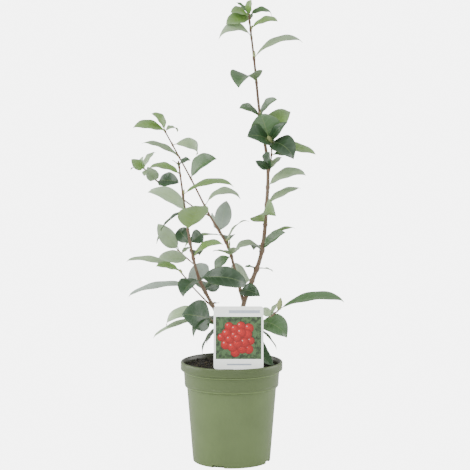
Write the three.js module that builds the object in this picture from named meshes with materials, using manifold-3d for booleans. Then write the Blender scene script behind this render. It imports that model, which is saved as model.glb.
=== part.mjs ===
// A young camellia in a round nursery pot, with a plain plant label.
// Millimetres, +Z up. The origin is the middle of the pot's flat underside, +X points to the
// right of the front view and +Y to the back.
import * as THREE from 'three';
import { mergeVertices } from 'three/addons/utils/BufferGeometryUtils.js';
import Module from 'manifold-3d';

const wasm = await Module();
wasm.setup();

// Pot
const POT_HEIGHT = 149.5;
const POT_WALL = 1.5;
const POT_FLOOR = 3;
const BASE_RADIUS = 57.5;
const BODY_TOP_RADIUS = 66.4;
const BAND_BOTTOM = 112.5;
const BAND_BOTTOM_RADIUS = 69.4;
const BAND_TOP_RADIUS = 71;
const LIP_BOTTOM = 136.5;
const LIP_RADIUS = 75.5;
const POT_SEGMENTS = 48;
const NOTCHES = 4;
const NOTCH = { width: 18, height: 4, depth: 5, firstAngle: -110 };

// Soil
const SOIL_TOP = 144;
const SOIL_ROUGHNESS = 1.6;
const FLAT_SOIL_RADIUS = 20;

// Label, one plastic card with a tongue that is pushed into the soil
const CARD = { width: 72, height: 92, corner: 4, thickness: 0.8, bottom: 146, middle: 10, y: -52 };
const TONGUE = { width: 14, bottom: 72, point: 8 };

// Clear space between neighbouring pieces
const GAP = 0.3;

// The plant was measured in the front view, in the plane through the pot's axis: `across` and `down`
// are the eye's distance in the scales of its widths and heights, and `middle` is the height that
// the eye looks at, tipped down by `pitch` degrees. A point that is nearer or farther than that
// plane lies on the same line of sight.
const EYE = { distance: 2280, height: 556, pitch: 5.5 };
const VIEW = { across: 2280, down: 2295, middle: 331.4 };
const DIP = Math.sin(THREE.MathUtils.degToRad(EYE.pitch));
const AHEAD = Math.cos(THREE.MathUtils.degToRad(EYE.pitch));

// Stems as [right, back, height] in that view, with the radius at their lower and upper end
const TRUNK = shoot([[3, 1, 130], [3.5, 1, 142], [5, 2, 156], [8, 3, 170]], 7.2, 5);
const ROOT_FLARE = { share: 0.55, height: 7, lobes: 3, depth: 0.16 };
const RIGHT_STEM = shoot([[8, 3, 170], [18, 9, 231], [43, 18, 302], [51, 28, 373],
  [52.5, 35, 437], [41, 42, 511], [34, 46, 580], [25, 47, 657]], 3.9, 1.5);
const RIGHT_TWIG = shoot([[52.5, 33, 412], [57, 30, 437], [58.5, 25, 455], [57.5, 22, 468]], 1.4, 1);
const MIDDLE_STEM = shoot([[18, 9, 229], [4, 25, 283], [-6, 36, 316], [-33, 53, 362],
  [-61, 66, 417], [-99, 76, 487]], 2.5, 1.2);
const LEFT_STEM = shoot([[5, 2, 156], [-10, -3, 190], [-26, -12, 224], [-47.5, -28, 267],
  [-61, -42, 321], [-71, -54, 389], [-78, -61, 441]], 3.4, 1.3);
const LEFT_TWIG = shoot([[-55, -34, 288], [-64, -26, 296], [-75, -16, 306], [-80, -11, 311]], 1.1, 0.8);
const CROSSING_BOUGH = shoot([[-32, 53, 359], [-56, 44, 373], [-84, 28, 394], [-108, 12, 410],
  [-130, -4, 431]], 1.3, 0.95);
const LOWER_LEFT_BOUGH = shoot([[-29, -13, 226], [-40, -13, 237], [-58, -9, 256], [-73, -2, 275],
  [-80, 2, 282]], 1.5, 0.9);
const LOWER_RIGHT_BOUGH = shoot([[12, 5, 190], [30, -6, 197], [54, -20, 208], [71, -26, 223]], 1.6, 1);
const BASE_TWIG = shoot([[-9, -3, 188], [-20, -14, 198], [-30, -22, 206], [-36, -26, 214]], 1.7, 1);

// A leaf is thin, folded a little along its midrib, and widest near its middle
const LEAF_WIDTH = 0.42;
const LEAF_THICKNESS = 0.014;
const LEAF_FOLD = 0.22;
const STALK_SHARE = 0.1;
const STALK_RADIUS = 0.75;
const LEAF_STATIONS = [0, 0.1, 0.2, 0.34, 0.5, 0.67, 0.84, 1];

// Each leaf: height on its shoot, reach of its tip [right, back, up] in mm, arch of its midrib in mm,
// and how its upper face looks: degrees tipped from straight up to the front, or directions in
// words. Where they differ from the usual, its width and its fold follow.
const RIGHT_LOW_LEAVES = [
  [264, [-30, 60, 13], 6, 90, 0.55],
  [281, [-17, -10, 3], 2, 20, 0.5],
  [281, [24, -8, -4], 3, 0, 0.42],
  [307, [-12, 56, 2], 8, 0, 0.36],
  [309, [-40, -22, -3], 13, 25],
  [311, [34, -32, 24], 2, 'up front left', 0.4, 0.5],
  [318, [47, 10, 23], 7, 12, 0.3],
];
const RIGHT_MIDDLE_LEAVES = [
  [347, [16, -48, 12], 16, 'up left', 0.75, 0.4],
  [376, [50, 22, 24], 5, 15, 0.36],
  [402, [56, -12, 17], 11, 28, 0.5],
];
const RIGHT_TWIG_LEAVES = [
  [427, [18, 34, 19], 3, 0, 0.3],
  [429, [-21, -18, 12], 3, 90, 0.4],
  [429, [0, -26, 25], 3, 'front left', 0.6],
  [449, [31, 15, -5], 5, 30],
  [457, [4, 58, 8], 9, 0, 0.4],
  [461, [65, 28, -11], 5, 35, 0.34],
  [465, [33, -24, -22], 16, 50, 0.8],
  [467, [-35, -32, 9], 8, 52, 0.84],
  [467, [24, -22, 30], 8, 'front front up left', 0.36],
  [466, [-15, -6, 44], 5, 90, 1],
  [467, [27, 22, 46], 15, 'front front up left', 0.6],
];
const RIGHT_UPPER_LEAVES = [
  [504, [-31, -42, 14], 4, 50, 0.42, 0.4],
  [505, [25, -36, 26], 4, 'up front left', 0.44, 0.4],
];
const RIGHT_TOP_LEAVES = [
  [556, [-26, -44, -8], 14, 0, 0.9, 0.4],
  [591, [71, -12, 24], 14, 24, 0.36],
  [622, [-48, -15, -2], 20, 40],
  [634, [40, -22, 12], 7, 35, 0.46],
  [645, [-8, 42, 6], 7, 0, 0.4],
  [651, [-34, -20, -9], 7, 60, 0.55],
  [654, [33, 14, -1], 11, 35],
  [654, [-27, -22, 5], 5, 45, 0.6],
  [655, [-19, 10, 19], 3, 'up right front', 0.35],
  [656, [4, -12, 22], 2, 'front left', 0.6],
];
const MIDDLE_LOW_LEAVES = [
  [249, [29, -30, -8], 8, 60, 0.55],
  [300, [-23, 18, -21], 7, 50, 0.5],
  [301, [-27, -22, 6], 3, -10, 0.45],
  [302, [8, -30, 10], 2, -10, 0.5],
  [314, [31, 20, 37], 11, 'up left', 0.35],
  [320, [5, 60, 3], 9, 0, 0.36],
  [330, [-55, -22, -19], 10, 0, 0.36],
  [336, [10, 28, 46], -4, 90, 0.47],
  [342, [-8, 44, 20], -3, 'right', 0.4],
];
const MIDDLE_MIDDLE_LEAVES = [
  [373, [52, -14, 11], 18, 25],
  [414, [38, -22, 29], 9, 'up front left', 0.62, 0.4],
];
const MIDDLE_TOP_LEAVES = [
  [446, [-55, 12, 20], 6, 15, 0.35],
  [464, [34, 18, -15], 18, 50, 0.5],
  [484, [18, 16, -1], 7, 20, 0.6],
  [484, [-47, -14, 5], 9, 42],
  [486, [-19, -6, 24], 7, 'right up front', 0.6],
];
const LEFT_LOW_LEAVES = [
  [229, [10, 14, 2], 1, 0, 0.5],
  [252, [22, 26, 9], 3, 90, 0.55],
  [247, [2, 52, 15], 3, 0, 0.6],
  [263, [-25, -46, -23], 10, 0, 0.6, 0.3],
  [267, [69, 2, -12], 22, 60, 0.45],
  [297, [9, 56, 4], 9, 0, 0.36],
  [298, [44, -14, 19], 10, 30, 0.4],
];
const LEFT_TWIG_LEAVES = [
  [296, [-43, -18, 2], 4, 60, 0.45],
  [304, [12, 18, 9], 2, 10, 0.4],
  [308, [-33, 26, 10], 18, 5, 0.4],
  [310, [-29, -18, 38], 4, 90, 0.46],
];
const LEFT_MIDDLE_LEAVES = [
  [319, [-17, 18, 21], 3, 90, 0.72],
  [320, [16, 28, 14], 3, 90, 0.62],
  [339, [18, -46, 35], 3, 0, 0.72],
  [366, [-55, -12, 28], 16, 48, 0.4],
  [367, [-35, 14, -30], 4, 15, 0.45],
];
const LEFT_TOP_LEAVES = [
  [390, [74, -8, 12], 12, 20, 0.32],
  [420, [-46, 10, 8], 9, 26, 0.4],
  [432, [-10, -14, 9], 1, 30, 0.45],
  [434, [17, -14, 7], 4, 45, 0.55],
];
const CROSSING_LEAVES = [
  [410, [31, -24, -2], 6, 60, 0.62],
  [412, [-13, -20, 20], 4, 90, 0.6],
  [426, [-3, -16, -8], 2, 0, 0.5],
  [428, [-21, 14, -1], 4, 0, 0.35],
  [429, [17, 10, 24], 5, 'left up front', 0.45],
  [429, [-19, -16, 14], 3, 90, 0.55],
  [430, [0, -12, 17], 3, 'front left', 0.5],
];
const LOWER_LEFT_LEAVES = [
  [257, [-92, 10, -17], 8, 15, 0.28],
  [266, [32, 20, 20], 2, 90, 0.6],
  [279, [-34, -20, 6], 5, 40],
  [280, [-76, 8, 12], 8, 15, 0.3],
];
const LOWER_RIGHT_LEAVES = [
  [196, [35, -16, -56], -11, 'up right front', 0.46],
  [198, [33, 6, -36], 4, 'up right', 0.42],
  [202, [39, -26, -22], 14, 'front up', 0.72],
  [211, [-12, 6, 13], 3, 90, 0.7],
  [209, [4, 50, 0], 8, 0, 0.36],
  [212, [9, 22, 20], 2, 'left front', 0.5],
  [221, [96, -22, 11], 12, 16, 0.36],
];
const BASE_LEAVES = [
  [196, [-18, 8, -25], 5, 'up front left', 0.3],
  [198, [-22, -12, -42], 5, 'up left', 0.36],
  [200, [-24, -24, 0], 3, 30, 0.5],
  [203, [-6, 48, 2], 8, 0, 0.36],
  [205, [-27, -44, -24], 14, 0, 0.3],
  [207, [-42, -34, 7], 8, 70, 0.85],
  [209, [-82, 8, -30], 7, 10, 0.28],
  [211, [-61, 12, -15], 19, 35, 0.38],
];

// Each bud: height on its shoot, reach of its tip and its width in mm
const RIGHT_TWIG_BUDS = [[465, [-5, -14, 13], 10]];
const RIGHT_TOP_BUDS = [[592, [1, -1, 11], 4], [633, [3, -1, 8], 3.5]];
const RIGHT_UPPER_BUDS = [[509, [4, -3, 6], 4.5]];
const MIDDLE_LOW_BUDS = [[311, [1, -2, 14], 3], [322, [6, -2, 5], 4]];
const LEFT_TOP_BUDS = [[390, [2, -2, 9], 3]];
const LOWER_LEFT_BUDS = [[275, [-3, -2, 7], 4]];
const LOWER_RIGHT_BUDS = [[221, [3, -3, 19], 8]];

const MATERIALS = {
  pot: finish(0x82916a, 0.6),
  soil: finish(0x3b3028, 0.95),
  label: finish(0xdfe2dc, 0.45),
  bark: finish(0x8b7a68, 0.8),
  leaf: finish(0x5f8056, 0.4),
};

function finish(color, roughness) {
  return new THREE.MeshStandardMaterial({ color, roughness, metalness: 0 });
}

// Points and directions of the front view

function place([right, back, height]) {
  const slope = (VIEW.middle - height) / VIEW.down;
  const depth = (EYE.distance + back) / (AHEAD - slope * DIP);
  return new THREE.Vector3(
    (right / VIEW.across) * depth, back, EYE.height - depth * (DIP + slope * AHEAD));
}

function seen(point) {
  const away = EYE.distance + point.y;
  const below = EYE.height - point.z;
  const depth = away * AHEAD + below * DIP;
  const slope = (below * AHEAD - away * DIP) / depth;
  return [(VIEW.across * point.x) / depth, point.y, VIEW.middle - VIEW.down * slope];
}

const SIDES = {
  right: [1, 0, 0], left: [-1, 0, 0], front: [0, -1, 0], up: [0, 0, 1],
};

function facing(looks) {
  if (typeof looks === 'number') {
    const tilt = THREE.MathUtils.degToRad(looks);
    return new THREE.Vector3(0, -Math.sin(tilt), Math.cos(tilt));
  }
  const sum = new THREE.Vector3();
  for (const word of looks.split(' ')) sum.add(new THREE.Vector3(...SIDES[word]));
  return sum.normalize();
}

// Solids

function solid(geometry) {
  const bare = geometry.clone();
  bare.deleteAttribute('normal');
  bare.deleteAttribute('uv');
  const merged = mergeVertices(bare, 1e-4);
  return new wasm.Manifold(new wasm.Mesh({
    numProp: 3,
    vertProperties: new Float32Array(merged.attributes.position.array),
    triVerts: new Uint32Array(merged.index.array),
  }));
}

function piece(name, shape, material) {
  const mesh = shape.getMesh();
  const geometry = new THREE.BufferGeometry();
  geometry.setAttribute('position', new THREE.BufferAttribute(mesh.vertProperties, 3));
  geometry.setIndex(new THREE.BufferAttribute(mesh.triVerts, 1));
  geometry.computeVertexNormals();
  const part = new THREE.Mesh(geometry, material);
  part.name = name;
  return part;
}

// A closed skin over rings of points that turn the same way round the line that they follow
function skin(rings) {
  const count = rings[0].length;
  const positions = rings.flat().flatMap((point) => point.toArray());
  const faces = [];
  for (let ring = 0; ring + 1 < rings.length; ring += 1) {
    for (let side = 0; side < count; side += 1) {
      const a = ring * count + side;
      const b = ring * count + ((side + 1) % count);
      faces.push(a, b, b + count, a, b + count, a + count);
    }
  }
  const last = (rings.length - 1) * count;
  for (let side = 2; side < count; side += 1) {
    const near = 1 + side;
    faces.push(1, near % count, side, last + 1, last + side, last + (near % count));
  }
  const geometry = new THREE.BufferGeometry();
  geometry.setAttribute('position', new THREE.Float32BufferAttribute(positions, 3));
  geometry.setIndex(faces);
  return solid(geometry);
}

// Stems

function shoot(points, lowerRadius, upperRadius) {
  const curve = new THREE.CatmullRomCurve3(points.map(place), false, 'catmullrom', 0.5);
  return { curve, lowerRadius, upperRadius, steps: (points.length - 1) * 3 };
}

// The share of a shoot's length at which it passes a height of the front view
function shareAt(stem, height) {
  let low = 0;
  let high = 1;
  for (let round = 0; round < 30; round += 1) {
    const middle = (low + high) / 2;
    if (seen(stem.curve.getPoint(middle))[2] < height) low = middle;
    else high = middle;
  }
  return low;
}

function radiusAt(stem, share) {
  return THREE.MathUtils.lerp(stem.lowerRadius, stem.upperRadius, share);
}

// The stretch of a shoot between two heights, as a tapered limb with flat ends
function limb(stem, from, to, { sides = 8, grow = 0, swell = () => 1 } = {}) {
  const start = from === undefined ? 0 : shareAt(stem, from);
  const end = to === undefined ? 1 : shareAt(stem, to);
  const steps = Math.max(2, Math.round((end - start) * stem.steps));
  const across = new THREE.Vector3(1, 0, 0);
  const rings = [];
  for (let step = 0; step <= steps; step += 1) {
    const share = THREE.MathUtils.lerp(start, end, step / steps);
    const centre = stem.curve.getPoint(share);
    const along = stem.curve.getTangent(share);
    across.addScaledVector(along, -across.dot(along)).normalize();
    const up = along.clone().cross(across);
    const radius = radiusAt(stem, share) + grow;
    rings.push(Array.from({ length: sides }, (_, side) => {
      const angle = (2 * Math.PI * side) / sides;
      const reach = radius * swell(centre.z, angle);
      return centre.clone()
        .addScaledVector(across, reach * Math.cos(angle))
        .addScaledVector(up, reach * Math.sin(angle));
    }));
  }
  return skin(rings);
}

// A limb that springs from another, cut clear of it
function bough(stem, to, parent, parentHeight) {
  const around = limb(parent, parentHeight - 25, parentHeight + 25, { grow: GAP });
  return limb(stem, undefined, to, { sides: 6 }).subtract(around);
}

// Leaves and buds

// Half the width of a leaf as a share of the widest, from its root at 0 to its tip at 1
function outline(share) {
  const blade = (share - STALK_SHARE * 0.8) / (1 - STALK_SHARE * 0.8);
  return blade <= 0 ? 0 : Math.sin(Math.PI * Math.min(blade, 1) ** 0.88) ** 0.8;
}

// How far the midrib stands off the straight line from root to tip, as a share of its arch
function bow(share) {
  return 2.6 * share ** 0.8 * (1 - share) ** 0.6;
}

function leaf(stem, [height, reach, arch, looks, width = LEAF_WIDTH, fold = LEAF_FOLD]) {
  const root = stem.curve.getPoint(shareAt(stem, height));
  const tip = place(seen(root).map((value, axis) => value + reach[axis]));
  const chord = tip.clone().sub(root);
  const length = chord.length();
  const upper = facing(looks).projectOnPlane(chord.clone().normalize()).normalize();
  const centre = (share) => root.clone()
    .addScaledVector(chord, share)
    .addScaledVector(upper, arch * bow(share));
  const rings = LEAF_STATIONS.map((share) => {
    const step = 0.02;
    const along = centre(Math.min(share + step, 1)).sub(centre(Math.max(share - step, 0))).normalize();
    const normal = upper.clone().projectOnPlane(along).normalize();
    const side = normal.clone().cross(along);
    const half = Math.max((length * width * outline(share)) / 2, share < 0.5 ? STALK_RADIUS : 0.3);
    const thick = share < 0.15 ? STALK_RADIUS : (length * LEAF_THICKNESS * (1.15 - 0.8 * share)) / 2;
    const lift = share < 0.15 ? 0 : fold * half;
    const at = (sideways, upward) => centre(share)
      .addScaledVector(side, sideways)
      .addScaledVector(normal, upward);
    return [at(half, lift), at(0, thick), at(-half, lift), at(0, -thick)];
  });
  return skin(rings);
}

function bud(stem, [height, reach, width]) {
  const root = stem.curve.getPoint(shareAt(stem, height));
  const tip = root.clone().add(new THREE.Vector3(...reach));
  const along = tip.clone().sub(root).normalize();
  const across = new THREE.Vector3(0, 1, 0).projectOnPlane(along).normalize();
  const up = along.clone().cross(across);
  const rings = [[0, 0.25], [0.25, 0.7], [0.5, 1], [0.75, 0.75], [1, 0.08]].map(([share, full]) => (
    Array.from({ length: 6 }, (_, side) => {
      const angle = (2 * Math.PI * side) / 6;
      return root.clone().lerp(tip, share)
        .addScaledVector(across, (full * width * Math.cos(angle)) / 2)
        .addScaledVector(up, (full * width * Math.sin(angle)) / 2);
    })));
  return skin(rings);
}

// A mass of foliage: its stretch of stem with its leaves and buds fused on. A leaf that would
// touch another piece is left off.
function foliage(plan, others) {
  let whole = plan.core;
  for (const { stem, leaves = [], buds = [] } of plan.groups) {
    for (const row of leaves) {
      const blade = leaf(stem, row);
      if (others.every((other) => blade.intersect(other).isEmpty())) whole = whole.add(blade);
    }
    for (const row of buds) whole = whole.add(bud(stem, row));
  }
  return whole;
}

// Pot

function turned(profile, segments = POT_SEGMENTS) {
  const points = profile.map(([radius, height]) => new THREE.Vector2(radius, height));
  return new THREE.LatheGeometry(points, segments).rotateX(Math.PI / 2);
}

function box(width, depth, height, x, y, z) {
  return solid(new THREE.BoxGeometry(width, depth, height).translate(x, y, z));
}

function pot() {
  const bandInside = BAND_BOTTOM_RADIUS - POT_WALL;
  const profile = [
    [0, 0], [BASE_RADIUS - 1.5, 0], [BASE_RADIUS, 1.5],
    [BODY_TOP_RADIUS, BAND_BOTTOM - 0.5], [BAND_BOTTOM_RADIUS - 0.4, BAND_BOTTOM],
    [BAND_BOTTOM_RADIUS, BAND_BOTTOM + 1], [BAND_TOP_RADIUS, LIP_BOTTOM - 1],
    [LIP_RADIUS - 1.6, LIP_BOTTOM], [LIP_RADIUS - 0.3, LIP_BOTTOM + 2],
    [LIP_RADIUS, POT_HEIGHT - 4], [LIP_RADIUS - 0.7, POT_HEIGHT - 0.8],
    [LIP_RADIUS - 2, POT_HEIGHT], [LIP_RADIUS - 3.6, POT_HEIGHT - 0.8],
    [BAND_TOP_RADIUS - 0.8, POT_HEIGHT - 6], [BAND_TOP_RADIUS - POT_WALL, LIP_BOTTOM - 1],
    [bandInside, BAND_BOTTOM + 3], [BODY_TOP_RADIUS - POT_WALL, BAND_BOTTOM - 2],
    [BASE_RADIUS - POT_WALL, POT_FLOOR + 1.5], [BASE_RADIUS - POT_WALL - 1.5, POT_FLOOR],
    [0, POT_FLOOR],
  ];
  let shell = solid(turned(profile));
  for (let count = 0; count < NOTCHES; count += 1) {
    const angle = ((NOTCH.firstAngle + (360 / NOTCHES) * count) * Math.PI) / 180;
    const block = new THREE.BoxGeometry(2 * NOTCH.depth, NOTCH.width, 2 * NOTCH.height)
      .translate(BASE_RADIUS, 0, 0)
      .rotateZ(angle);
    shell = shell.subtract(solid(block));
  }
  return shell;
}

function soil() {
  const inside = (radius) => radius - POT_WALL - GAP;
  const rings = [[0, POT_FLOOR + GAP], [inside(BASE_RADIUS) - 2, POT_FLOOR + GAP],
    [inside(BASE_RADIUS), POT_FLOOR + 2], [inside(BODY_TOP_RADIUS), BAND_BOTTOM - 2],
    [inside(BAND_BOTTOM_RADIUS), BAND_BOTTOM + 3.4], [inside(BAND_TOP_RADIUS) - 0.3, SOIL_TOP - 4],
    [60, SOIL_TOP - 1], [48, SOIL_TOP], [34, SOIL_TOP], [FLAT_SOIL_RADIUS, SOIL_TOP], [0, SOIL_TOP]];
  const body = turned(rings, 32);
  const spots = body.attributes.position;
  for (let index = 0; index < spots.count; index += 1) {
    const [x, y, z] = [spots.getX(index), spots.getY(index), spots.getZ(index)];
    const reach = Math.hypot(x, y);
    if (z < SOIL_TOP - 2 || reach < FLAT_SOIL_RADIUS + 1) continue;
    const wave = Math.sin(x * 0.37 + 1.3) * Math.cos(y * 0.29 - 0.6) + Math.sin((x - y) * 0.53);
    spots.setZ(index, z + SOIL_ROUGHNESS * 0.5 * wave);
  }
  const slot = box(TONGUE.width + 2 * GAP, CARD.thickness + 2 * GAP, 2 * (SOIL_TOP - TONGUE.bottom + 1),
    CARD.middle, CARD.y, SOIL_TOP);
  return solid(body).subtract(slot);
}

function label() {
  const { width, height, corner, bottom, thickness, middle, y } = CARD;
  const side = width / 2;
  const tongue = TONGUE.width / 2;
  const shape = new THREE.Shape();
  shape.moveTo(-tongue, bottom);
  shape.lineTo(-tongue, TONGUE.bottom + TONGUE.point);
  shape.lineTo(0, TONGUE.bottom);
  shape.lineTo(tongue, TONGUE.bottom + TONGUE.point);
  shape.lineTo(tongue, bottom);
  shape.lineTo(side - corner, bottom);
  shape.absarc(side - corner, bottom + corner, corner, -Math.PI / 2, 0);
  shape.lineTo(side, bottom + height - corner);
  shape.absarc(side - corner, bottom + height - corner, corner, 0, Math.PI / 2);
  shape.lineTo(corner - side, bottom + height);
  shape.absarc(corner - side, bottom + height - corner, corner, Math.PI / 2, Math.PI);
  shape.lineTo(-side, bottom + corner);
  shape.absarc(corner - side, bottom + corner, corner, Math.PI, 1.5 * Math.PI);
  const card = new THREE.ExtrudeGeometry(shape, { depth: thickness, bevelEnabled: false, curveSegments: 4 })
    .translate(0, 0, -thickness / 2)
    .rotateX(Math.PI / 2)
    .translate(middle, y, 0);
  return solid(card);
}

// Trunk and bare stems

function trunk() {
  const flare = (height, angle) => {
    const low = Math.exp(-Math.max(height - SOIL_TOP, 0) / ROOT_FLARE.height);
    return 1 + low * (ROOT_FLARE.share + ROOT_FLARE.depth * Math.cos(ROOT_FLARE.lobes * angle));
  };
  const whole = limb(TRUNK, undefined, undefined, { sides: 14, swell: flare });
  const ground = box(80, 80, 40, 0, 0, SOIL_TOP + GAP - 20);
  return whole.subtract(ground);
}

const FORK = 170;
const limbs = {
  trunk: trunk(),
  stem_right: limb(RIGHT_STEM, FORK + GAP, 255),
  stem_middle: bough(MIDDLE_STEM, 244, RIGHT_STEM, 230),
  stem_left: limb(LEFT_STEM, undefined, 226).subtract(limb(TRUNK, 134, FORK, { grow: GAP, sides: 14 })),
  bough_crossing: bough(CROSSING_BOUGH, 402, MIDDLE_STEM, 360),
  bough_lower_left: bough(LOWER_LEFT_BOUGH, 250, LEFT_STEM, 228),
  bough_lower_right: bough(LOWER_RIGHT_BOUGH, 195, RIGHT_STEM, 190),
  bough_base: bough(BASE_TWIG, 193, LEFT_STEM, 190),
};

// Each mass: the stretch of stem that it grows on, and the leaves and buds on it
const stretch = (stem, from, to) => limb(stem, from + GAP, to, { sides: 6 });
const plans = {
  foliage_right_low: {
    core: stretch(RIGHT_STEM, 255, 332),
    groups: [{ stem: RIGHT_STEM, leaves: RIGHT_LOW_LEAVES }],
  },
  foliage_right_middle: {
    core: stretch(RIGHT_STEM, 332, 440).add(limb(RIGHT_TWIG)),
    groups: [
      { stem: RIGHT_STEM, leaves: RIGHT_MIDDLE_LEAVES },
      { stem: RIGHT_TWIG, leaves: RIGHT_TWIG_LEAVES, buds: RIGHT_TWIG_BUDS },
    ],
  },
  foliage_right_upper: {
    core: stretch(RIGHT_STEM, 440, 545),
    groups: [{ stem: RIGHT_STEM, leaves: RIGHT_UPPER_LEAVES, buds: RIGHT_UPPER_BUDS }],
  },
  foliage_right_top: {
    core: stretch(RIGHT_STEM, 545),
    groups: [{ stem: RIGHT_STEM, leaves: RIGHT_TOP_LEAVES, buds: RIGHT_TOP_BUDS }],
  },
  foliage_middle_low: {
    core: stretch(MIDDLE_STEM, 244, 345),
    groups: [{ stem: MIDDLE_STEM, leaves: MIDDLE_LOW_LEAVES, buds: MIDDLE_LOW_BUDS }],
  },
  foliage_middle: {
    core: stretch(MIDDLE_STEM, 345, 425),
    groups: [{ stem: MIDDLE_STEM, leaves: MIDDLE_MIDDLE_LEAVES }],
  },
  foliage_middle_top: {
    core: stretch(MIDDLE_STEM, 425),
    groups: [{ stem: MIDDLE_STEM, leaves: MIDDLE_TOP_LEAVES }],
  },
  foliage_left_low: {
    core: stretch(LEFT_STEM, 226, 311).add(limb(LEFT_TWIG)),
    groups: [
      { stem: LEFT_STEM, leaves: LEFT_LOW_LEAVES },
      { stem: LEFT_TWIG, leaves: LEFT_TWIG_LEAVES },
    ],
  },
  foliage_left_middle: {
    core: stretch(LEFT_STEM, 311, 385),
    groups: [{ stem: LEFT_STEM, leaves: LEFT_MIDDLE_LEAVES }],
  },
  foliage_left_top: {
    core: stretch(LEFT_STEM, 385),
    groups: [{ stem: LEFT_STEM, leaves: LEFT_TOP_LEAVES, buds: LEFT_TOP_BUDS }],
  },
  foliage_crossing: {
    core: stretch(CROSSING_BOUGH, 402),
    groups: [{ stem: CROSSING_BOUGH, leaves: CROSSING_LEAVES }],
  },
  foliage_lower_left: {
    core: stretch(LOWER_LEFT_BOUGH, 250),
    groups: [{ stem: LOWER_LEFT_BOUGH, leaves: LOWER_LEFT_LEAVES, buds: LOWER_LEFT_BUDS }],
  },
  foliage_lower_right: {
    core: stretch(LOWER_RIGHT_BOUGH, 195),
    groups: [{ stem: LOWER_RIGHT_BOUGH, leaves: LOWER_RIGHT_LEAVES, buds: LOWER_RIGHT_BUDS }],
  },
  foliage_base: {
    core: stretch(BASE_TWIG, 193),
    groups: [{ stem: BASE_TWIG, leaves: BASE_LEAVES }],
  },
};

const camellia = new THREE.Group();
const settled = { pot: pot(), soil: soil(), label: label(), ...limbs };
for (const [name, plan] of Object.entries(plans)) settled[name] = plan.core;
for (const [name, plan] of Object.entries(plans)) {
  const others = Object.entries(settled).filter(([other]) => other !== name).map(([, shape]) => shape);
  settled[name] = foliage(plan, others);
}
for (const [name, shape] of Object.entries(settled)) {
  const material = MATERIALS[name] ?? (name in plans ? MATERIALS.leaf : MATERIALS.bark);
  camellia.add(piece(name, shape, material));
}

export default camellia;
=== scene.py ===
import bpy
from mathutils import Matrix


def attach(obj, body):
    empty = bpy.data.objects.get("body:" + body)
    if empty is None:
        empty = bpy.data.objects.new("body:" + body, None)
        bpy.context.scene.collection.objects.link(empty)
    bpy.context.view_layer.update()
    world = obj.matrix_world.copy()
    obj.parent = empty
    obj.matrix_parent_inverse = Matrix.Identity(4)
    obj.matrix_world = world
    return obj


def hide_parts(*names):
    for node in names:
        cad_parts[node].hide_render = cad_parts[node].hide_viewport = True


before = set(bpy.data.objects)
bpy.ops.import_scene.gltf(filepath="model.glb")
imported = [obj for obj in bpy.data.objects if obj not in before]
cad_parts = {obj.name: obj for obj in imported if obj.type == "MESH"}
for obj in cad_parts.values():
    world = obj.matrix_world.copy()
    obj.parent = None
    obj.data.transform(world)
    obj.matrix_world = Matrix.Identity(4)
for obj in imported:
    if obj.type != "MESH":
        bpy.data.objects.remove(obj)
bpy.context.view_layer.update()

import math
import random
from collections import namedtuple

import bpy
from mathutils import Vector, noise

bl_info = {
    'name': 'Potted camellia',
    'version': (1, 0, 0),
    'blender': (4, 5, 0),
    'location': '3D View > Sidebar > Camellia',
    'description': 'Grows a young camellia in a nursery pot round its packed solids',
    'category': 'Add Mesh',
}

MM = 0.001
BODY = 'root'

# The plant was measured in the front view, in millimetres, in the plane through the pot's axis,
# from an eye that looks down by a few degrees. A point that is nearer or farther than that plane
# lies on the same line of sight. VIEW_ACROSS and VIEW_DOWN are the eye's distance as widths and
# heights show it, and VIEW_MIDDLE is the height in the middle of its view.
EYE_DISTANCE = 2280
EYE_HEIGHT = 556
EYE_PITCH = math.radians(5.5)
VIEW_ACROSS = 2280
VIEW_DOWN = 2295
VIEW_MIDDLE = 331.4
DIP = math.sin(EYE_PITCH)
AHEAD = math.cos(EYE_PITCH)

# Pot, soil and root flare, in millimetres
POT_HEIGHT = 149.5
POT_WALL = 1.5
POT_FLOOR = 3
BASE_RADIUS = 57.5
BODY_TOP_RADIUS = 66.4
BAND_BOTTOM = 112.5
BAND_BOTTOM_RADIUS = 69.4
BAND_TOP_RADIUS = 71
LIP_BOTTOM = 136.5
LIP_RADIUS = 75.5
FOOT_ROUND = 1.4
LIP_ROUND = 2.1
# Heights of the painted highlight lines along the band's lower edge and just under the lip
HIGHLIGHT_LINES = (BAND_BOTTOM, LIP_BOTTOM - 2.6)
NOTCHES = 4
NOTCH_WIDTH = 18
NOTCH_HEIGHT = 4
NOTCH_DEPTH = 5
FIRST_NOTCH = math.radians(-110)
SOIL_TOP = 144
FLARE_SHARE = 0.55
FLARE_HEIGHT = 7
FLARE_LOBES = 3
FLARE_DEPTH = 0.16

# Share of a leaf's length that its stalk takes, how many of their spaces the side veins run forward
# from midrib to margin, and how many waves the margin has
STALK_SHARE = 0.1
VEIN_SLANT = 1.3
WAVES = 2.75

# Label, in millimetres
CARD_WIDTH = 72
CARD_BOTTOM = 146
CARD_TOP = 238
CARD_MIDDLE = 10
CARD_Y = -52
CARD_THICKNESS = 0.8
CARD_EDGE = 0.15
TONGUE_WIDTH = 14
TONGUE_BOTTOM = 72
PANEL_TOP = 223
PANEL_BOTTOM = 161
PANEL_SIDE = 33

# The two plain bars of the label's print: left, right, bottom and top from the card's middle line
BARS = {'label_header': (-14, 31, 228, 232.5), 'label_footer': (-17, 19, 152, 154.2)}
BAR_CORNER = 0.8

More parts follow.
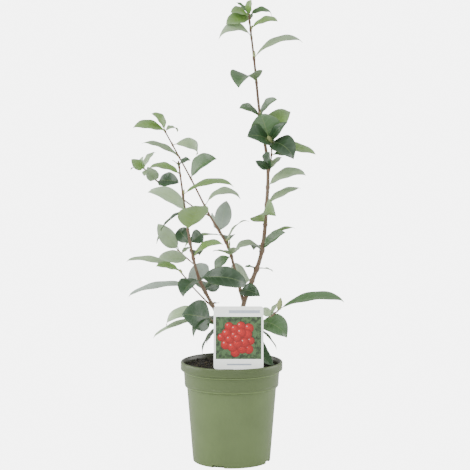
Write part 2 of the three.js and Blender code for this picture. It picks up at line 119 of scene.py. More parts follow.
# Printed leaves stand in rows on the panel, and the berries on a spiral; each shape of ink lies one
# step in front of the last. A printed leaf has a length, half its width as a share of that, and a
# turn in degrees. A berry is four discs: size, shift to the upper left, and finish.
INK_STEP = 0.012
PRINTED_LEAF = 13
PRINTED_HALF = 0.24
PRINTED_TURNS = (30, 150)
LEAF_COLUMNS = [CARD_MIDDLE - 24 + 12 * column for column in range(5)]
LEAF_ROWS = [PANEL_BOTTOM + 5 + 13 * row for row in range(4)]
LEAF_MARGIN = 3
BERRIES = 19
BERRY_SPREAD = 5.5
BERRY_RADII = (5.8, 7.4)
GOLDEN_TURN = 2.4
CLUSTER = (CARD_MIDDLE - 2, (PANEL_TOP + PANEL_BOTTOM) / 2)
BERRY_DISCS = ((1, 0, 1), (0.82, 0.1, 2), (0.5, 0.24, 3), (0.16, 0.4, 4))


def place(spot):
    """A point [right, back, height] of the front view in the row frame, in millimetres."""
    right, back, height = spot
    slope = (VIEW_MIDDLE - height) / VIEW_DOWN
    depth = (EYE_DISTANCE + back) / (AHEAD - slope * DIP)
    return Vector((right / VIEW_ACROSS * depth, back, EYE_HEIGHT - depth * (DIP + slope * AHEAD)))


def seen(point):
    """The front view's point for a point of the row frame."""
    away, below = EYE_DISTANCE + point.y, EYE_HEIGHT - point.z
    depth = away * AHEAD + below * DIP
    slope = (below * AHEAD - away * DIP) / depth
    return Vector((VIEW_ACROSS * point.x / depth, point.y, VIEW_MIDDLE - VIEW_DOWN * slope))


class Shoot:
    """A stem along a smooth curve through its points, with its radius at either end."""

    def __init__(self, spots, lower_radius, upper_radius):
        self.points = [place(spot) for spot in spots]
        self.lower_radius = lower_radius
        self.upper_radius = upper_radius

    def at(self, share):
        """The point of the curve at a share of its points, from 0 to 1."""
        spots = self.points
        last = len(spots) - 1
        index = min(int(share * last), last - 1)
        rest = share * last - index
        start, end = spots[index], spots[index + 1]
        before = spots[index - 1] if index > 0 else 2 * start - end
        after = spots[index + 2] if index + 2 <= last else 2 * end - start
        leave, arrive = (end - before) / 2, (after - start) / 2
        return (start + leave * rest + (3 * (end - start) - 2 * leave - arrive) * rest ** 2
                + (2 * (start - end) + leave + arrive) * rest ** 3)

    def along(self, share):
        """The direction of growth."""
        return (self.at(min(share + 0.001, 1)) - self.at(max(share - 0.001, 0))).normalized()

    def radius(self, share):
        return self.lower_radius + (self.upper_radius - self.lower_radius) * share

    def share_at(self, height):
        """Where the curve passes a height of the front view."""
        low, high = 0.0, 1.0
        for _ in range(30):
            middle = (low + high) / 2
            if seen(self.at(middle)).z < height:
                low = middle
            else:
                high = middle
        return low


# Each leaf: height on its shoot, reach of its tip (right, back, up), arch of its midrib, how its
# upper face looks (degrees tipped from straight up to the front, or directions in words), its tone,
# and its width and fold as shares.
Leaf = namedtuple('Leaf', 'height reach arch looks tone width fold', defaults=(0.42, 0.22))

# Each bud: height on its shoot, reach of its tip, and width
Bud = namedtuple('Bud', 'height reach width')

TRUNK = Shoot([(3, 1, 130), (3.5, 1, 142), (5, 2, 156), (8, 3, 170)], 7.2, 5)
RIGHT_STEM = Shoot([(8, 3, 170), (18, 9, 231), (43, 18, 302), (51, 28, 373), (52.5, 35, 437),
    (41, 42, 511), (34, 46, 580), (25, 47, 657)], 3.9, 1.5)
RIGHT_TWIG = Shoot([(52.5, 33, 412), (57, 30, 437), (58.5, 25, 455), (57.5, 22, 468)], 1.4, 1)
MIDDLE_STEM = Shoot([(18, 9, 229), (4, 25, 283), (-6, 36, 316), (-33, 53, 362), (-61, 66, 417),
    (-99, 76, 487)], 2.5, 1.2)
LEFT_STEM = Shoot([(5, 2, 156), (-10, -3, 190), (-26, -12, 224), (-47.5, -28, 267),
    (-61, -42, 321), (-71, -54, 389), (-78, -61, 441)], 3.4, 1.3)
LEFT_TWIG = Shoot([(-55, -34, 288), (-64, -26, 296), (-75, -16, 306), (-80, -11, 311)], 1.1, 0.8)
CROSSING_BOUGH = Shoot([(-32, 53, 359), (-56, 44, 373), (-84, 28, 394), (-108, 12, 410),
    (-130, -4, 431)], 1.3, 0.95)
LOWER_LEFT_BOUGH = Shoot([(-29, -13, 226), (-40, -13, 237), (-58, -9, 256), (-73, -2, 275),
    (-80, 2, 282)], 1.5, 0.9)
LOWER_RIGHT_BOUGH = Shoot([(12, 5, 190), (30, -6, 197), (54, -20, 208), (71, -26, 223)], 1.6, 1)
BASE_TWIG = Shoot([(-9, -3, 188), (-20, -14, 198), (-30, -22, 206), (-36, -26, 214)], 1.7, 1)

RIGHT_LOW_LEAVES = [
    Leaf(264, (-30, 60, 13), 6, 90, 'pale', 0.55),
    Leaf(281, (-17, -10, 3), 2, 20, 'green', 0.5),
    Leaf(281, (24, -8, -4), 3, 0, 'pale', 0.42),
    Leaf(307, (-12, 56, 2), 8, 0, 'deep', 0.36),
    Leaf(309, (-40, -22, -3), 13, 25, 'pale'),
    Leaf(311, (34, -32, 24), 2, 'up front left', 'green', 0.4, 0.5),
    Leaf(318, (47, 10, 23), 7, 12, 'young', 0.3),
]
RIGHT_MIDDLE_LEAVES = [
    Leaf(347, (16, -48, 12), 16, 'up left', 'young', 0.75, 0.4),
    Leaf(376, (50, 22, 24), 5, 15, 'pale', 0.36),
    Leaf(402, (56, -12, 17), 11, 28, 'pale', 0.5),
]
RIGHT_TWIG_LEAVES = [
    Leaf(427, (18, 34, 19), 3, 0, 'pale', 0.3),
    Leaf(429, (-21, -18, 12), 3, 90, 'deep', 0.4),
    Leaf(429, (0, -26, 25), 3, 'front left', 'deep', 0.6),
    Leaf(449, (31, 15, -5), 5, 30, 'green'),
    Leaf(457, (4, 58, 8), 9, 0, 'deep', 0.4),
    Leaf(461, (65, 28, -11), 5, 35, 'young', 0.34),
    Leaf(465, (33, -24, -22), 16, 50, 'deep', 0.8),
    Leaf(467, (-35, -32, 9), 8, 52, 'deep', 0.84),
    Leaf(467, (24, -22, 30), 8, 'front front up left', 'deep', 0.36),
    Leaf(466, (-15, -6, 44), 5, 90, 'green', 1),
    Leaf(467, (27, 22, 46), 15, 'front front up left', 'young', 0.6),
]
RIGHT_UPPER_LEAVES = [
    Leaf(504, (-31, -42, 14), 4, 50, 'green', 0.42, 0.4),
    Leaf(505, (25, -36, 26), 4, 'up front left', 'green', 0.44, 0.4),
]
RIGHT_TOP_LEAVES = [
    Leaf(556, (-26, -44, -8), 14, 0, 'green', 0.9, 0.4),
    Leaf(591, (71, -12, 24), 14, 24, 'pale', 0.36),
    Leaf(622, (-48, -15, -2), 20, 40, 'pale'),
    Leaf(634, (40, -22, 12), 7, 35, 'young', 0.46),
    Leaf(645, (-8, 42, 6), 7, 0, 'green', 0.4),
    Leaf(651, (-34, -20, -9), 7, 60, 'young', 0.55),
    Leaf(654, (33, 14, -1), 11, 35, 'green'),
    Leaf(654, (-27, -22, 5), 5, 45, 'young', 0.6),
    Leaf(655, (-19, 10, 19), 3, 'up right front', 'green', 0.35),
    Leaf(656, (4, -12, 22), 2, 'front left', 'young', 0.6),
]
MIDDLE_LOW_LEAVES = [
    Leaf(249, (29, -30, -8), 8, 60, 'deep', 0.55),
    Leaf(300, (-23, 18, -21), 7, 50, 'green', 0.5),
    Leaf(301, (-27, -22, 6), 3, -10, 'pale', 0.45),
    Leaf(302, (8, -30, 10), 2, -10, 'pale', 0.5),
    Leaf(314, (31, 20, 37), 11, 'up left', 'pale', 0.35),
    Leaf(320, (5, 60, 3), 9, 0, 'green', 0.36),
    Leaf(330, (-55, -22, -19), 10, 0, 'young', 0.36),
    Leaf(336, (10, 28, 46), -4, 90, 'grey', 0.47),
    Leaf(342, (-8, 44, 20), -3, 'right', 'grey', 0.4),
]
MIDDLE_MIDDLE_LEAVES = [
    Leaf(373, (52, -14, 11), 18, 25, 'pale'),
    Leaf(414, (38, -22, 29), 9, 'up front left', 'green', 0.62, 0.4),
]
MIDDLE_TOP_LEAVES = [
    Leaf(446, (-55, 12, 20), 6, 15, 'pale', 0.35),
    Leaf(464, (34, 18, -15), 18, 50, 'pale', 0.5),
    Leaf(484, (18, 16, -1), 7, 20, 'pale', 0.6),
    Leaf(484, (-47, -14, 5), 9, 42, 'young'),
    Leaf(486, (-19, -6, 24), 7, 'right up front', 'young', 0.6),
]
LEFT_LOW_LEAVES = [
    Leaf(229, (10, 14, 2), 1, 0, 'deep', 0.5),
    Leaf(252, (22, 26, 9), 3, 90, 'deep', 0.55),
    Leaf(247, (2, 52, 15), 3, 0, 'green', 0.6),
    Leaf(263, (-25, -46, -23), 10, 0, 'deep', 0.6, 0.3),
    Leaf(267, (69, 2, -12), 22, 60, 'deep', 0.45),
    Leaf(297, (9, 56, 4), 9, 0, 'deep', 0.36),
    Leaf(298, (44, -14, 19), 10, 30, 'young', 0.4),
]
LEFT_TWIG_LEAVES = [
    Leaf(296, (-43, -18, 2), 4, 60, 'pale', 0.45),
    Leaf(304, (12, 18, 9), 2, 10, 'pale', 0.4),
    Leaf(308, (-33, 26, 10), 18, 5, 'pale', 0.4),
    Leaf(310, (-29, -18, 38), 4, 90, 'pale', 0.46),
]
LEFT_MIDDLE_LEAVES = [
    Leaf(319, (-17, 18, 21), 3, 90, 'deep', 0.72),
    Leaf(320, (16, 28, 14), 3, 90, 'deep', 0.62),
    Leaf(339, (18, -46, 35), 3, 0, 'young', 0.72),
    Leaf(366, (-55, -12, 28), 16, 48, 'pale', 0.4),
    Leaf(367, (-35, 14, -30), 4, 15, 'deep', 0.45),
]
LEFT_TOP_LEAVES = [
    Leaf(390, (74, -8, 12), 12, 20, 'young', 0.32),
    Leaf(420, (-46, 10, 8), 9, 26, 'young', 0.4),
    Leaf(432, (-10, -14, 9), 1, 30, 'green', 0.45),
    Leaf(434, (17, -14, 7), 4, 45, 'deep', 0.55),
]
CROSSING_LEAVES = [
    Leaf(410, (31, -24, -2), 6, 60, 'deep', 0.62),
    Leaf(412, (-13, -20, 20), 4, 90, 'pale', 0.6),
    Leaf(426, (-3, -16, -8), 2, 0, 'pale', 0.5),
    Leaf(428, (-21, 14, -1), 4, 0, 'green', 0.35),
    Leaf(429, (17, 10, 24), 5, 'left up front', 'pale', 0.45),
    Leaf(429, (-19, -16, 14), 3, 90, 'young', 0.55),
    Leaf(430, (0, -12, 17), 3, 'front left', 'pale', 0.5),
]
LOWER_LEFT_LEAVES = [
    Leaf(257, (-92, 10, -17), 8, 15, 'grey', 0.28),
    Leaf(266, (32, 20, 20), 2, 90, 'grey', 0.6),
    Leaf(279, (-34, -20, 6), 5, 40, 'young'),
    Leaf(280, (-76, 8, 12), 8, 15, 'pale', 0.3),
]
LOWER_RIGHT_LEAVES = [
    Leaf(196, (35, -16, -56), -11, 'up right front', 'deep', 0.46),
    Leaf(198, (33, 6, -36), 4, 'up right', 'deep', 0.42),
    Leaf(202, (39, -26, -22), 14, 'front up', 'green', 0.72),
    Leaf(211, (-12, 6, 13), 3, 90, 'pale', 0.7),
    Leaf(209, (4, 50, 0), 8, 0, 'deep', 0.36),
    Leaf(212, (9, 22, 20), 2, 'left front', 'pale', 0.5),
    Leaf(221, (96, -22, 11), 12, 16, 'green', 0.36),
]
BASE_LEAVES = [
    Leaf(196, (-18, 8, -25), 5, 'up front left', 'deep', 0.3),
    Leaf(198, (-22, -12, -42), 5, 'up left', 'deep', 0.36),
    Leaf(200, (-24, -24, 0), 3, 30, 'green', 0.5),
    Leaf(203, (-6, 48, 2), 8, 0, 'deep', 0.36),
    Leaf(205, (-27, -44, -24), 14, 0, 'deep', 0.3),
    Leaf(207, (-42, -34, 7), 8, 70, 'deep', 0.85),
    Leaf(209, (-82, 8, -30), 7, 10, 'pale', 0.28),
    Leaf(211, (-61, 12, -15), 19, 35, 'pale', 0.38),
]

RIGHT_TWIG_BUDS = [Bud(465, (-5, -14, 13), 10)]
RIGHT_TOP_BUDS = [Bud(592, (1, -1, 11), 4), Bud(633, (3, -1, 8), 3.5)]
RIGHT_UPPER_BUDS = [Bud(509, (4, -3, 6), 4.5)]
MIDDLE_LOW_BUDS = [Bud(311, (1, -2, 14), 3), Bud(322, (6, -2, 5), 4)]
LEFT_TOP_BUDS = [Bud(390, (2, -2, 9), 3)]
LOWER_LEFT_BUDS = [Bud(275, (-3, -2, 7), 4)]
LOWER_RIGHT_BUDS = [Bud(221, (3, -3, 19), 8)]

# What grows on each shoot
GROWTH = [
    (RIGHT_STEM, RIGHT_LOW_LEAVES + RIGHT_MIDDLE_LEAVES + RIGHT_UPPER_LEAVES + RIGHT_TOP_LEAVES,
     RIGHT_TOP_BUDS + RIGHT_UPPER_BUDS),
    (RIGHT_TWIG, RIGHT_TWIG_LEAVES, RIGHT_TWIG_BUDS),
    (MIDDLE_STEM, MIDDLE_LOW_LEAVES + MIDDLE_MIDDLE_LEAVES + MIDDLE_TOP_LEAVES, MIDDLE_LOW_BUDS),
    (LEFT_STEM, LEFT_LOW_LEAVES + LEFT_MIDDLE_LEAVES + LEFT_TOP_LEAVES, LEFT_TOP_BUDS),
    (LEFT_TWIG, LEFT_TWIG_LEAVES, []),
    (CROSSING_BOUGH, CROSSING_LEAVES, []),
    (LOWER_LEFT_BOUGH, LOWER_LEFT_LEAVES, LOWER_LEFT_BUDS),
    (LOWER_RIGHT_BOUGH, LOWER_RIGHT_LEAVES, LOWER_RIGHT_BUDS),
    (BASE_TWIG, BASE_LEAVES, []),
]

MASSES = [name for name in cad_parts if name.startswith('foliage')]
LIMBS = [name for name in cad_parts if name.startswith(('trunk', 'stem', 'bough'))]
# deep, green and young are the leaves' own colours by age; pale and grey are lighter greens for
# leaves that catch and mirror the light: painted highlight and painted reflection
TONES = ('deep', 'green', 'young', 'pale', 'grey')


def rgb(red, green, blue):
    """A screen colour of 0 to 255 as the linear colour that a shader takes."""
    return tuple(part / 12.92 if part <= 0.04045 else ((part + 0.055) / 1.055) ** 2.4
                 for part in (red / 255, green / 255, blue / 255))


def shade(colour, factor):
    return tuple(value * factor for value in colour)


def blend(first, second, share):
    return tuple(one + (other - one) * share for one, other in zip(first, second))


# Settings

def colour_property(label, description, default):
    return bpy.props.FloatVectorProperty(name=label, description=description, subtype='COLOR',
                                         size=3, min=0, max=1, default=default)


def number_property(label, description, default, **limits):
    return bpy.props.FloatProperty(name=label, description=description, default=default, **limits)


def length_property(label, description, millimetres):
    return number_property(label, description, millimetres * MM, unit='LENGTH')


def count_property(label, description, default, least, most):
    return bpy.props.IntProperty(name=label, description=description, default=default,
                                 min=least, max=most)


class LeafSettings(bpy.types.PropertyGroup):
    """Sizes and colours of the leaves."""
    stations: count_property('Stations', 'Steps from root to tip', 26, 8, 60)
    thickness: length_property('Thickness', 'Thickness of a blade at its middle', 0.45)
    stalk: length_property('Stalk radius', 'Radius of the stalk', 0.75)
    tooth: length_property('Tooth', 'How far the teeth of the margin stand out', 0.1)
    vein: length_property('Vein depth', 'How deep the side veins lie', 0.16)
    wave: length_property('Wave', 'How far the margin waves up and down', 0.55)
    side_veins: count_property('Side veins', 'Veins on each side of the midrib', 7, 0, 12)
    deep: colour_property('Deep', 'Upper face of the old leaves', rgb(40, 72, 36))
    green: colour_property('Green', 'Upper face of the grown leaves', rgb(72, 108, 58))
    young: colour_property('Young', 'Upper face of this year\'s leaves', rgb(118, 156, 74))
    # Pale and grey stand for light on the leaves: painted highlight and painted reflection
    pale: colour_property('Pale', 'Upper face of leaves that catch the light', rgb(160, 186, 140))
    grey: colour_property('Grey', 'Upper face of leaves that mirror the light', rgb(178, 194, 180))
    under: colour_property('Under', 'What the undersides lean to', rgb(150, 170, 118))
    rib: colour_property('Rib', 'What midrib and margin lean to', rgb(168, 186, 128))
    bud: colour_property('Bud', 'Shaded parts of the buds', rgb(150, 166, 104))
    bud_light: colour_property('Light bud', 'Light parts of the buds', rgb(176, 184, 128))


class WoodSettings(bpy.types.PropertyGroup):
    """Sizes and colours of the trunk, boughs and twigs."""
    voxel: length_property('Voxel', 'Fineness of the fused stems', 0.58)
    relief: length_property('Relief', 'Depth of the bark\'s furrows on the trunk', 0.26)
    node_reach: length_property('Node length', 'Length of the swelling at a leaf', 2.4)
    node_swell: number_property('Node swelling', 'Share that a node swells by', 0.3, min=0, max=1)
    old: colour_property('Old bark', 'Bark near the ground', rgb(136, 120, 100))
    ripe: colour_property('Ripe bark', 'Bark of the stems', rgb(122, 94, 76))
    fresh: colour_property('Fresh bark', 'Skin of the youngest twigs', rgb(98, 76, 56))


class PotSettings(bpy.types.PropertyGroup):
    """Sizes and colours of the pot and its soil."""
    sides: count_property('Sides', 'Sides of the turned shapes', 128, 32, 256)
    ridge: length_property('Ridge', 'Height of the fine moulded ridges', 0.28)
    plastic: colour_property('Plastic', 'Colour of the pot', rgb(104, 122, 76))
    soil: colour_property('Soil', 'Colour of the soil', rgb(33, 29, 21))
    crumb: colour_property('Crumb', 'Colour of the lighter bits of bark', rgb(74, 66, 50))
    crumbs: count_property('Crumbs', 'Loose crumbs on the soil', 900, 0, 4000)


class LabelSettings(bpy.types.PropertyGroup):
    """Sizes and colours of the plant label."""
    corner: length_property('Corner', 'Radius of the card\'s corners', 4)
    ink: length_property('Ink', 'Thickness of the printed areas', 0.05)
    card: colour_property('Card', 'Colour of the card', rgb(228, 231, 226))
    bars: colour_property('Bars', 'Colour of the two plain bars', rgb(208, 218, 232))
    ground: colour_property('Ground', 'Ground of the printed panel', rgb(60, 84, 50))
    leaf: colour_property('Leaf', 'Printed leaves', rgb(86, 118, 74))
    berry: colour_property('Berry', 'Printed berries', rgb(190, 30, 26))
    # The card's glow is painted light: the white card gives off light though it is no lamp
    glow: number_property('Glow', 'How bright the white card shines', 1.1)


class StageSettings(bpy.types.PropertyGroup):
    """Camera, floor and light."""
    lens: number_property('Lens', 'Focal length', 119.3, unit='CAMERA')
    pitch: number_property('Pitch', 'How far the camera looks down', EYE_PITCH, subtype='ANGLE')
    shift: number_property('Shift', 'Shift of the view to the right', 0.0072)
    key: number_property('Key light', 'Power of the key light', 42, unit='POWER')
    sky: number_property('Sky', 'Strength of the white surroundings', 0.75)
    paper: number_property('Paper', 'Brightness of the blank backdrop', 6)
    floor: colour_property('Floor', 'Colour of the floor', (0.8, 0.8, 0.8))


# Materials

class Value:
    """A shader socket that takes part in sums; each operator adds its Math node."""

    def __init__(self, finish, socket):
        self.finish = finish
        self.socket = socket

    def math(self, operation, *values):
        sockets = dict(enumerate(values))
        return self.finish.node('ShaderNodeMath', {'operation': operation}, sockets)

    def cosine(self):
        return self.math('COSINE', self)

    def __add__(self, other):
        return self.math('ADD', self, other)

    def __sub__(self, other):
        return self.math('SUBTRACT', self, other)

    def __mul__(self, other):
        return self.math('MULTIPLY', self, other)

    def __rsub__(self, other):
        return self.math('SUBTRACT', other, self)

    __radd__ = __add__
    __rmul__ = __mul__

    def between(self, low, high):
        """0 below low, 1 above high, smooth between them."""
        sockets = {'Value': self, 'From Min': low, 'From Max': high}
        return self.finish.node('ShaderNodeMapRange', {'interpolation_type': 'SMOOTHSTEP'}, sockets)


class Finish:
    """A material with a Principled shader, and the nodes that lead to it."""

    def __init__(self, name, roughness, **constants):
        self.material = bpy.data.materials.new(name)
        self.material.use_nodes = True
        self.tree = self.material.node_tree
        self.shader = self.tree.nodes['Principled BSDF']
        self.feed('Roughness', roughness)
        for socket, value in constants.items():
            self.feed(socket.replace('_', ' '), value)
        self.place = self.node('ShaderNodeTexCoord', {}, {}, 'Object')

    def node(self, kind, settings, sockets, output=0):
        """Adds a node with its settings and the values or links of its sockets."""
        made = self.tree.nodes.new(kind)
        for name, value in settings.items():
            setattr(made, name, value)
        for name, value in sockets.items():
            self.join(made.inputs[name], value)
        return Value(self, made.outputs[output])

    def join(self, socket, value):
        if isinstance(value, Value):
            self.tree.links.new(value.socket, socket)
        elif socket.type == 'RGBA' and len(value) == 3:
            socket.default_value = (*value, 1)
        else:
            socket.default_value = value

    def feed(self, socket, value):
        self.join(self.shader.inputs[socket], value)

    def noise(self, scale, detail=3, stretch=None):
        """Soft noise of that many grains a metre, from 0 to 1."""
        where = self.place
        if stretch:
            where = self.node('ShaderNodeMapping', {}, {'Vector': self.place, 'Scale': stretch})
        return self.node('ShaderNodeTexNoise', {},
                         {'Vector': where, 'Scale': scale, 'Detail': detail})

    def cells(self, scale):
        sockets = {'Vector': self.place, 'Scale': scale}
        return self.node('ShaderNodeTexVoronoi', {}, sockets, 'Distance')

    def height(self):
        return self.node('ShaderNodeSeparateXYZ', {}, {0: self.place}, 'Z')

    def reach(self):
        """Distance from the upright axis."""
        flat = self.node('ShaderNodeVectorMath', {'operation': 'MULTIPLY'},
                         {0: self.place, 1: (1, 1, 0)})
        return self.node('ShaderNodeVectorMath', {'operation': 'LENGTH'}, {0: flat}, 'Value')

    def marks(self, name):
        """The three parts of an attribute of the piece."""
        marks = self.node('ShaderNodeAttribute', {'attribute_name': name}, {}, 'Vector')
        return [self.node('ShaderNodeSeparateXYZ', {}, {0: marks}, part) for part in 'XYZ']

    def mix(self, factor, first, second):
        """The first colour where the factor is 0, and the second where it is 1."""
        return self.node('ShaderNodeMix', {'data_type': 'RGBA'},
                         {0: factor, 6: first, 7: second}, 2)

    def bump(self, height, distance, strength=1):
        sockets = {'Height': height, 'Distance': distance, 'Strength': strength}
        self.feed('Normal', self.node('ShaderNodeBump', {}, sockets))


def grained_finish(name, dark, light, scale, relief, roughness, detail=2, stretch=None,
                   **constants):
    """A dark and a light colour, mixed by a grain that stands out in relief."""
    finish = Finish(name, roughness, **constants)
    grain = finish.noise(scale, detail, stretch)
    finish.feed('Base Color', finish.mix(grain, dark, light))
    finish.bump(grain, relief)
    return finish.material


def blade_finish(name, colour, pale, roughness, gloss, side_veins):
    """A leaf's skin: paler along its side veins, and towards its margin and tip with a painted
    sheen.
    """
    finish = Finish(name, 0.5, Coat_Weight=gloss, Coat_Roughness=0.16)
    share, edge, chance = finish.marks('blade')
    patches = finish.noise(60, 2)
    grain = finish.noise(1400, 2)
    lightness = (0.7 * patches + 0.3 * chance).between(0.25, 0.7)
    tint = finish.mix(lightness, shade(colour, 0.78), shade(colour, 1.12))
    veins = ((side_veins * share - VEIN_SLANT * edge) * math.tau).cosine().between(0.5, 1)
    tint = finish.mix(veins * (1 - edge) * 0.25, tint, pale)
    # Painted sheen: the blade pales towards the sheen colour at its margin and tip
    tint = finish.mix(edge.between(0.2, 1) * 0.3 + share.between(0.45, 1) * 0.25, tint, pale)
    finish.feed('Base Color', tint)
    finish.feed('Roughness', roughness + 0.14 * (grain - 0.5))
    finish.bump(grain, 0.00012)
    return finish.material


def rib_finish(name, colour):
    """The smooth skin of midrib, stalk and margin."""
    return grained_finish(name, shade(colour, 0.88), shade(colour, 1.08), scale=900,
                          relief=0.0001, roughness=0.5)


def bark_finish(settings):
    """Bark: greyish at the ground, brown on the stems, darkest on the youngest wood."""
    finish = Finish('bark', 0.7)
    streaks = finish.noise(300, 4, (1, 1, 0.5))
    patches = finish.noise(90, 2)
    height = finish.height() + 0.06 * (patches - 0.5)
    lower = finish.mix(height.between(0.14, 0.24), settings.old, settings.ripe)
    skin = finish.mix(height.between(0.34, 0.62) * 0.6, lower, settings.fresh)
    streaked = finish.mix(streaks.between(0.3, 0.72), shade(settings.old, 0.75), skin)
    finish.feed('Base Color', streaked)
    finish.feed('Roughness', 0.58 + 0.25 * streaks)
    finish.bump(streaks + 0.4 * finish.noise(1500, 3), 0.0003)
    return finish.material


def bud_finish(settings):
    return grained_finish('bud', settings.bud, settings.bud_light, scale=500, relief=0.00015,
                          roughness=0.42, stretch=(1, 1, 0.4), Coat_Weight=0.1)


def plastic_finish(settings):
    """Matte moulded plastic: a fine orange peel, faint clouds of tone, paler worn spots, painted
    shade on the band, the lip and the inner wall above the soil, and two painted highlight lines.
    """
    finish = Finish('pot_plastic', 0.55)
    peel = finish.noise(900, 2)
    clouds = finish.noise(22, 3)
    scuffs = finish.noise(240, 4, (1, 1, 3)).between(0.62, 0.8)
    base = finish.mix(clouds.between(0.3, 0.75), shade(settings.plastic, 0.94),
                      shade(settings.plastic, 1.05))
    height = finish.height()
    # Painted shade: darker on the band and darker still on the lip, as shade under the overhanging
    # rim
    upper = height.between(BAND_BOTTOM * MM, (BAND_BOTTOM + 2) * MM) * 0.5
    upper = upper + height.between((LIP_BOTTOM - 1) * MM, (LIP_BOTTOM + 4) * MM) * 0.5
    base = finish.mix(upper, base, shade(settings.plastic, 0.66))
    # Painted highlight: a pale line at each of these heights, as an edge that catches the light
    for edge in HIGHLIGHT_LINES:
        rise = height.between((edge - 0.5) * MM, edge * MM)
        line = rise - height.between((edge + 0.8) * MM, (edge + 1.3) * MM)
        base = finish.mix(line * 0.55, base, shade(settings.plastic, 2))
    # Painted shade: the inner wall above the soil is darkened towards the soil's colour
    inside = 1 - finish.reach().between((LIP_RADIUS - 3.6) * MM, (LIP_RADIUS - 2.6) * MM)
    inner_wall_shade = inside * height.between((LIP_BOTTOM + 2) * MM, (LIP_BOTTOM + 6) * MM) * 0.8
    base = finish.mix(inner_wall_shade, base, settings.soil)
    finish.feed('Base Color', finish.mix(scuffs * 0.2, base, shade(settings.plastic, 1.35)))
    finish.feed('Roughness', 0.27 + 0.12 * clouds + 0.06 * scuffs)
    finish.bump(peel, 0.00008, 0.7)
    return finish.material


def soil_finish(settings):
    finish = Finish('soil', 0.95)
    grains = finish.noise(420, 5)
    clods = finish.cells(260)
    finish.feed('Base Color', finish.mix(grains.between(0.3, 0.75), shade(settings.soil, 0.5),
                                         shade(settings.soil, 1.7)))
    finish.bump(grains + 0.5 * clods, 0.0012)
    return finish.material


def crumb_finish(name, colour):
    return grained_finish(name, shade(colour, 0.6), shade(colour, 1.35), scale=700,
                          relief=0.0005, roughness=0.9, detail=3)


def card_finish(name, colour, glow=0):
    """Printed plastic card with a faint satin grain, and where glow is given a glow of its own
    colour: painted light.
    """
    return grained_finish(name, shade(colour, 0.97), shade(colour, 1.02), scale=1600,
                          relief=0.00003, roughness=0.4, Coat_Weight=0.15, Coat_Roughness=0.25,
                          Emission_Color=colour, Emission_Strength=glow)


def mottled_finish(name, dark, light):
    """A printed ground of blurred dark and light leaves."""
    finish = Finish(name, 0.35, Coat_Weight=0.2, Coat_Roughness=0.2)
    blur = finish.noise(190, 3)
    finish.feed('Base Color', finish.mix(blur.between(0.34, 0.68), dark, light))
    return finish.material


# Making pieces

def deselect():
    if bpy.context.object and bpy.context.object.mode != 'OBJECT':
        bpy.ops.object.mode_set(mode='OBJECT')
    bpy.ops.object.select_all(action='DESELECT')


def select(piece):
    deselect()
    piece.select_set(True)
    bpy.context.view_layer.objects.active = piece


def settle(piece, name, materials, replaced):
    """Names a finished piece, dresses it, puts its place into its mesh and ties it to the frame."""
    select(piece)
    bpy.ops.object.transform_apply(location=True, rotation=True, scale=True)
    piece.name = name
    piece.data.name = name
    for material in materials:
        piece.data.materials.append(material)
    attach(piece, BODY)
    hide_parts(*replaced)


def apply_modifier(piece, kind, **settings):
    select(piece)
    modifier = piece.modifiers.new(kind.lower(), kind)
    for name, value in settings.items():
        setattr(modifier, name, value)
    bpy.ops.object.modifier_apply(modifier=modifier.name)


def combine(piece, other, operation):
    """Adds a shape to a piece or cuts it away, and deletes the shape."""
    apply_modifier(piece, 'BOOLEAN', operation=operation, object=other, solver='EXACT')
    select(other)
    bpy.ops.object.delete()


class Gathered:
    """Points and faces of many small closed shapes that become one mesh."""

    def __init__(self):
        self.points = []
        self.faces = []
        self.slots = []
        self.marks = []

    def skin(self, rings, strips=None, slot=0, marks=()):
        """Closes a skin over rings that turn the same way round the line that they follow.

        Its strips have finishes of their own, or all of it has the finish of one slot.
        """
        self.marks += marks
        count = len(rings[0])
        first = len(self.points)
        self.points += [point * MM for ring in rings for point in ring]
        for start in range(first, first + (len(rings) - 1) * count, count):
            for side in range(count):
                a, b = start + side, start + (side + 1) % count
                self.faces.append((a, b, b + count, a + count))
        last = first + (len(rings) - 1) * count
        self.faces.append(tuple(reversed(range(first, first + count))))
        self.faces.append(tuple(range(last, last + count)))
        self.slots += (strips or [slot] * count) * (len(rings) - 1) + [slot] * 2

    def mesh(self, smooth=True):
        mesh = bpy.data.meshes.new('gathered')
        mesh.from_pydata(self.points, [], self.faces)
        mesh.polygons.foreach_set('material_index', self.slots)
        mesh.polygons.foreach_set('use_smooth', [smooth] * len(self.faces))
        if self.marks:
            values = mesh.attributes.new('blade', 'FLOAT_VECTOR', 'POINT')
            values.data.foreach_set('vector', [value for mark in self.marks for value in mark])
        mesh.update()
        piece = bpy.data.objects.new('gathered', mesh)
        bpy.context.collection.objects.link(piece)
        return piece


def circle(centre, along, radii, across=Vector((1, 0, 0))):
    """A ring of points round a line, with a radius for each."""
    across = (across - along * across.dot(along)).normalized()
    up = along.cross(across)
    angles = [2 * math.pi * side / len(radii) for side in range(len(radii))]
    return [centre + across * (radius * math.cos(angle)) + up * (radius * math.sin(angle))
            for radius, angle in zip(radii, angles)]


# Wood, with its steps in millimetres. Its furrows have streaks and lumps of so many grains a metre,
# and fade over so many metres of height to a share of their depth.

STEM_STEP = 1.6
FEWEST_STEPS = 12
STEM_SIDES = 14
TRUNK_STEPS = 30
TRUNK_SIDES = 28
STREAKS = (500, 500, 110)
LUMPS = 160
STREAK_SHARE = 0.6
FURROW_FADE = 0.06
FADED_SHARE = 0.12
MOST_SWELL = 1.2


def stem_rings(shoot, swellings, settings):
    """Rings of a stem from its root to its end, thicker at its nodes."""
    steps = max(FEWEST_STEPS, int((shoot.points[-1] - shoot.points[0]).length / STEM_STEP))
    reach = settings.node_reach / MM
    rings = []
    for step in range(steps + 1):
        share = step / steps
        centre = shoot.at(share)
        swell = sum(math.exp(-((centre.z - node) / reach) ** 2) for node in swellings)
        radius = shoot.radius(share) * (1 + settings.node_swell * min(swell, MOST_SWELL))
        rings.append(circle(centre, shoot.along(share), [radius] * STEM_SIDES))
    return rings


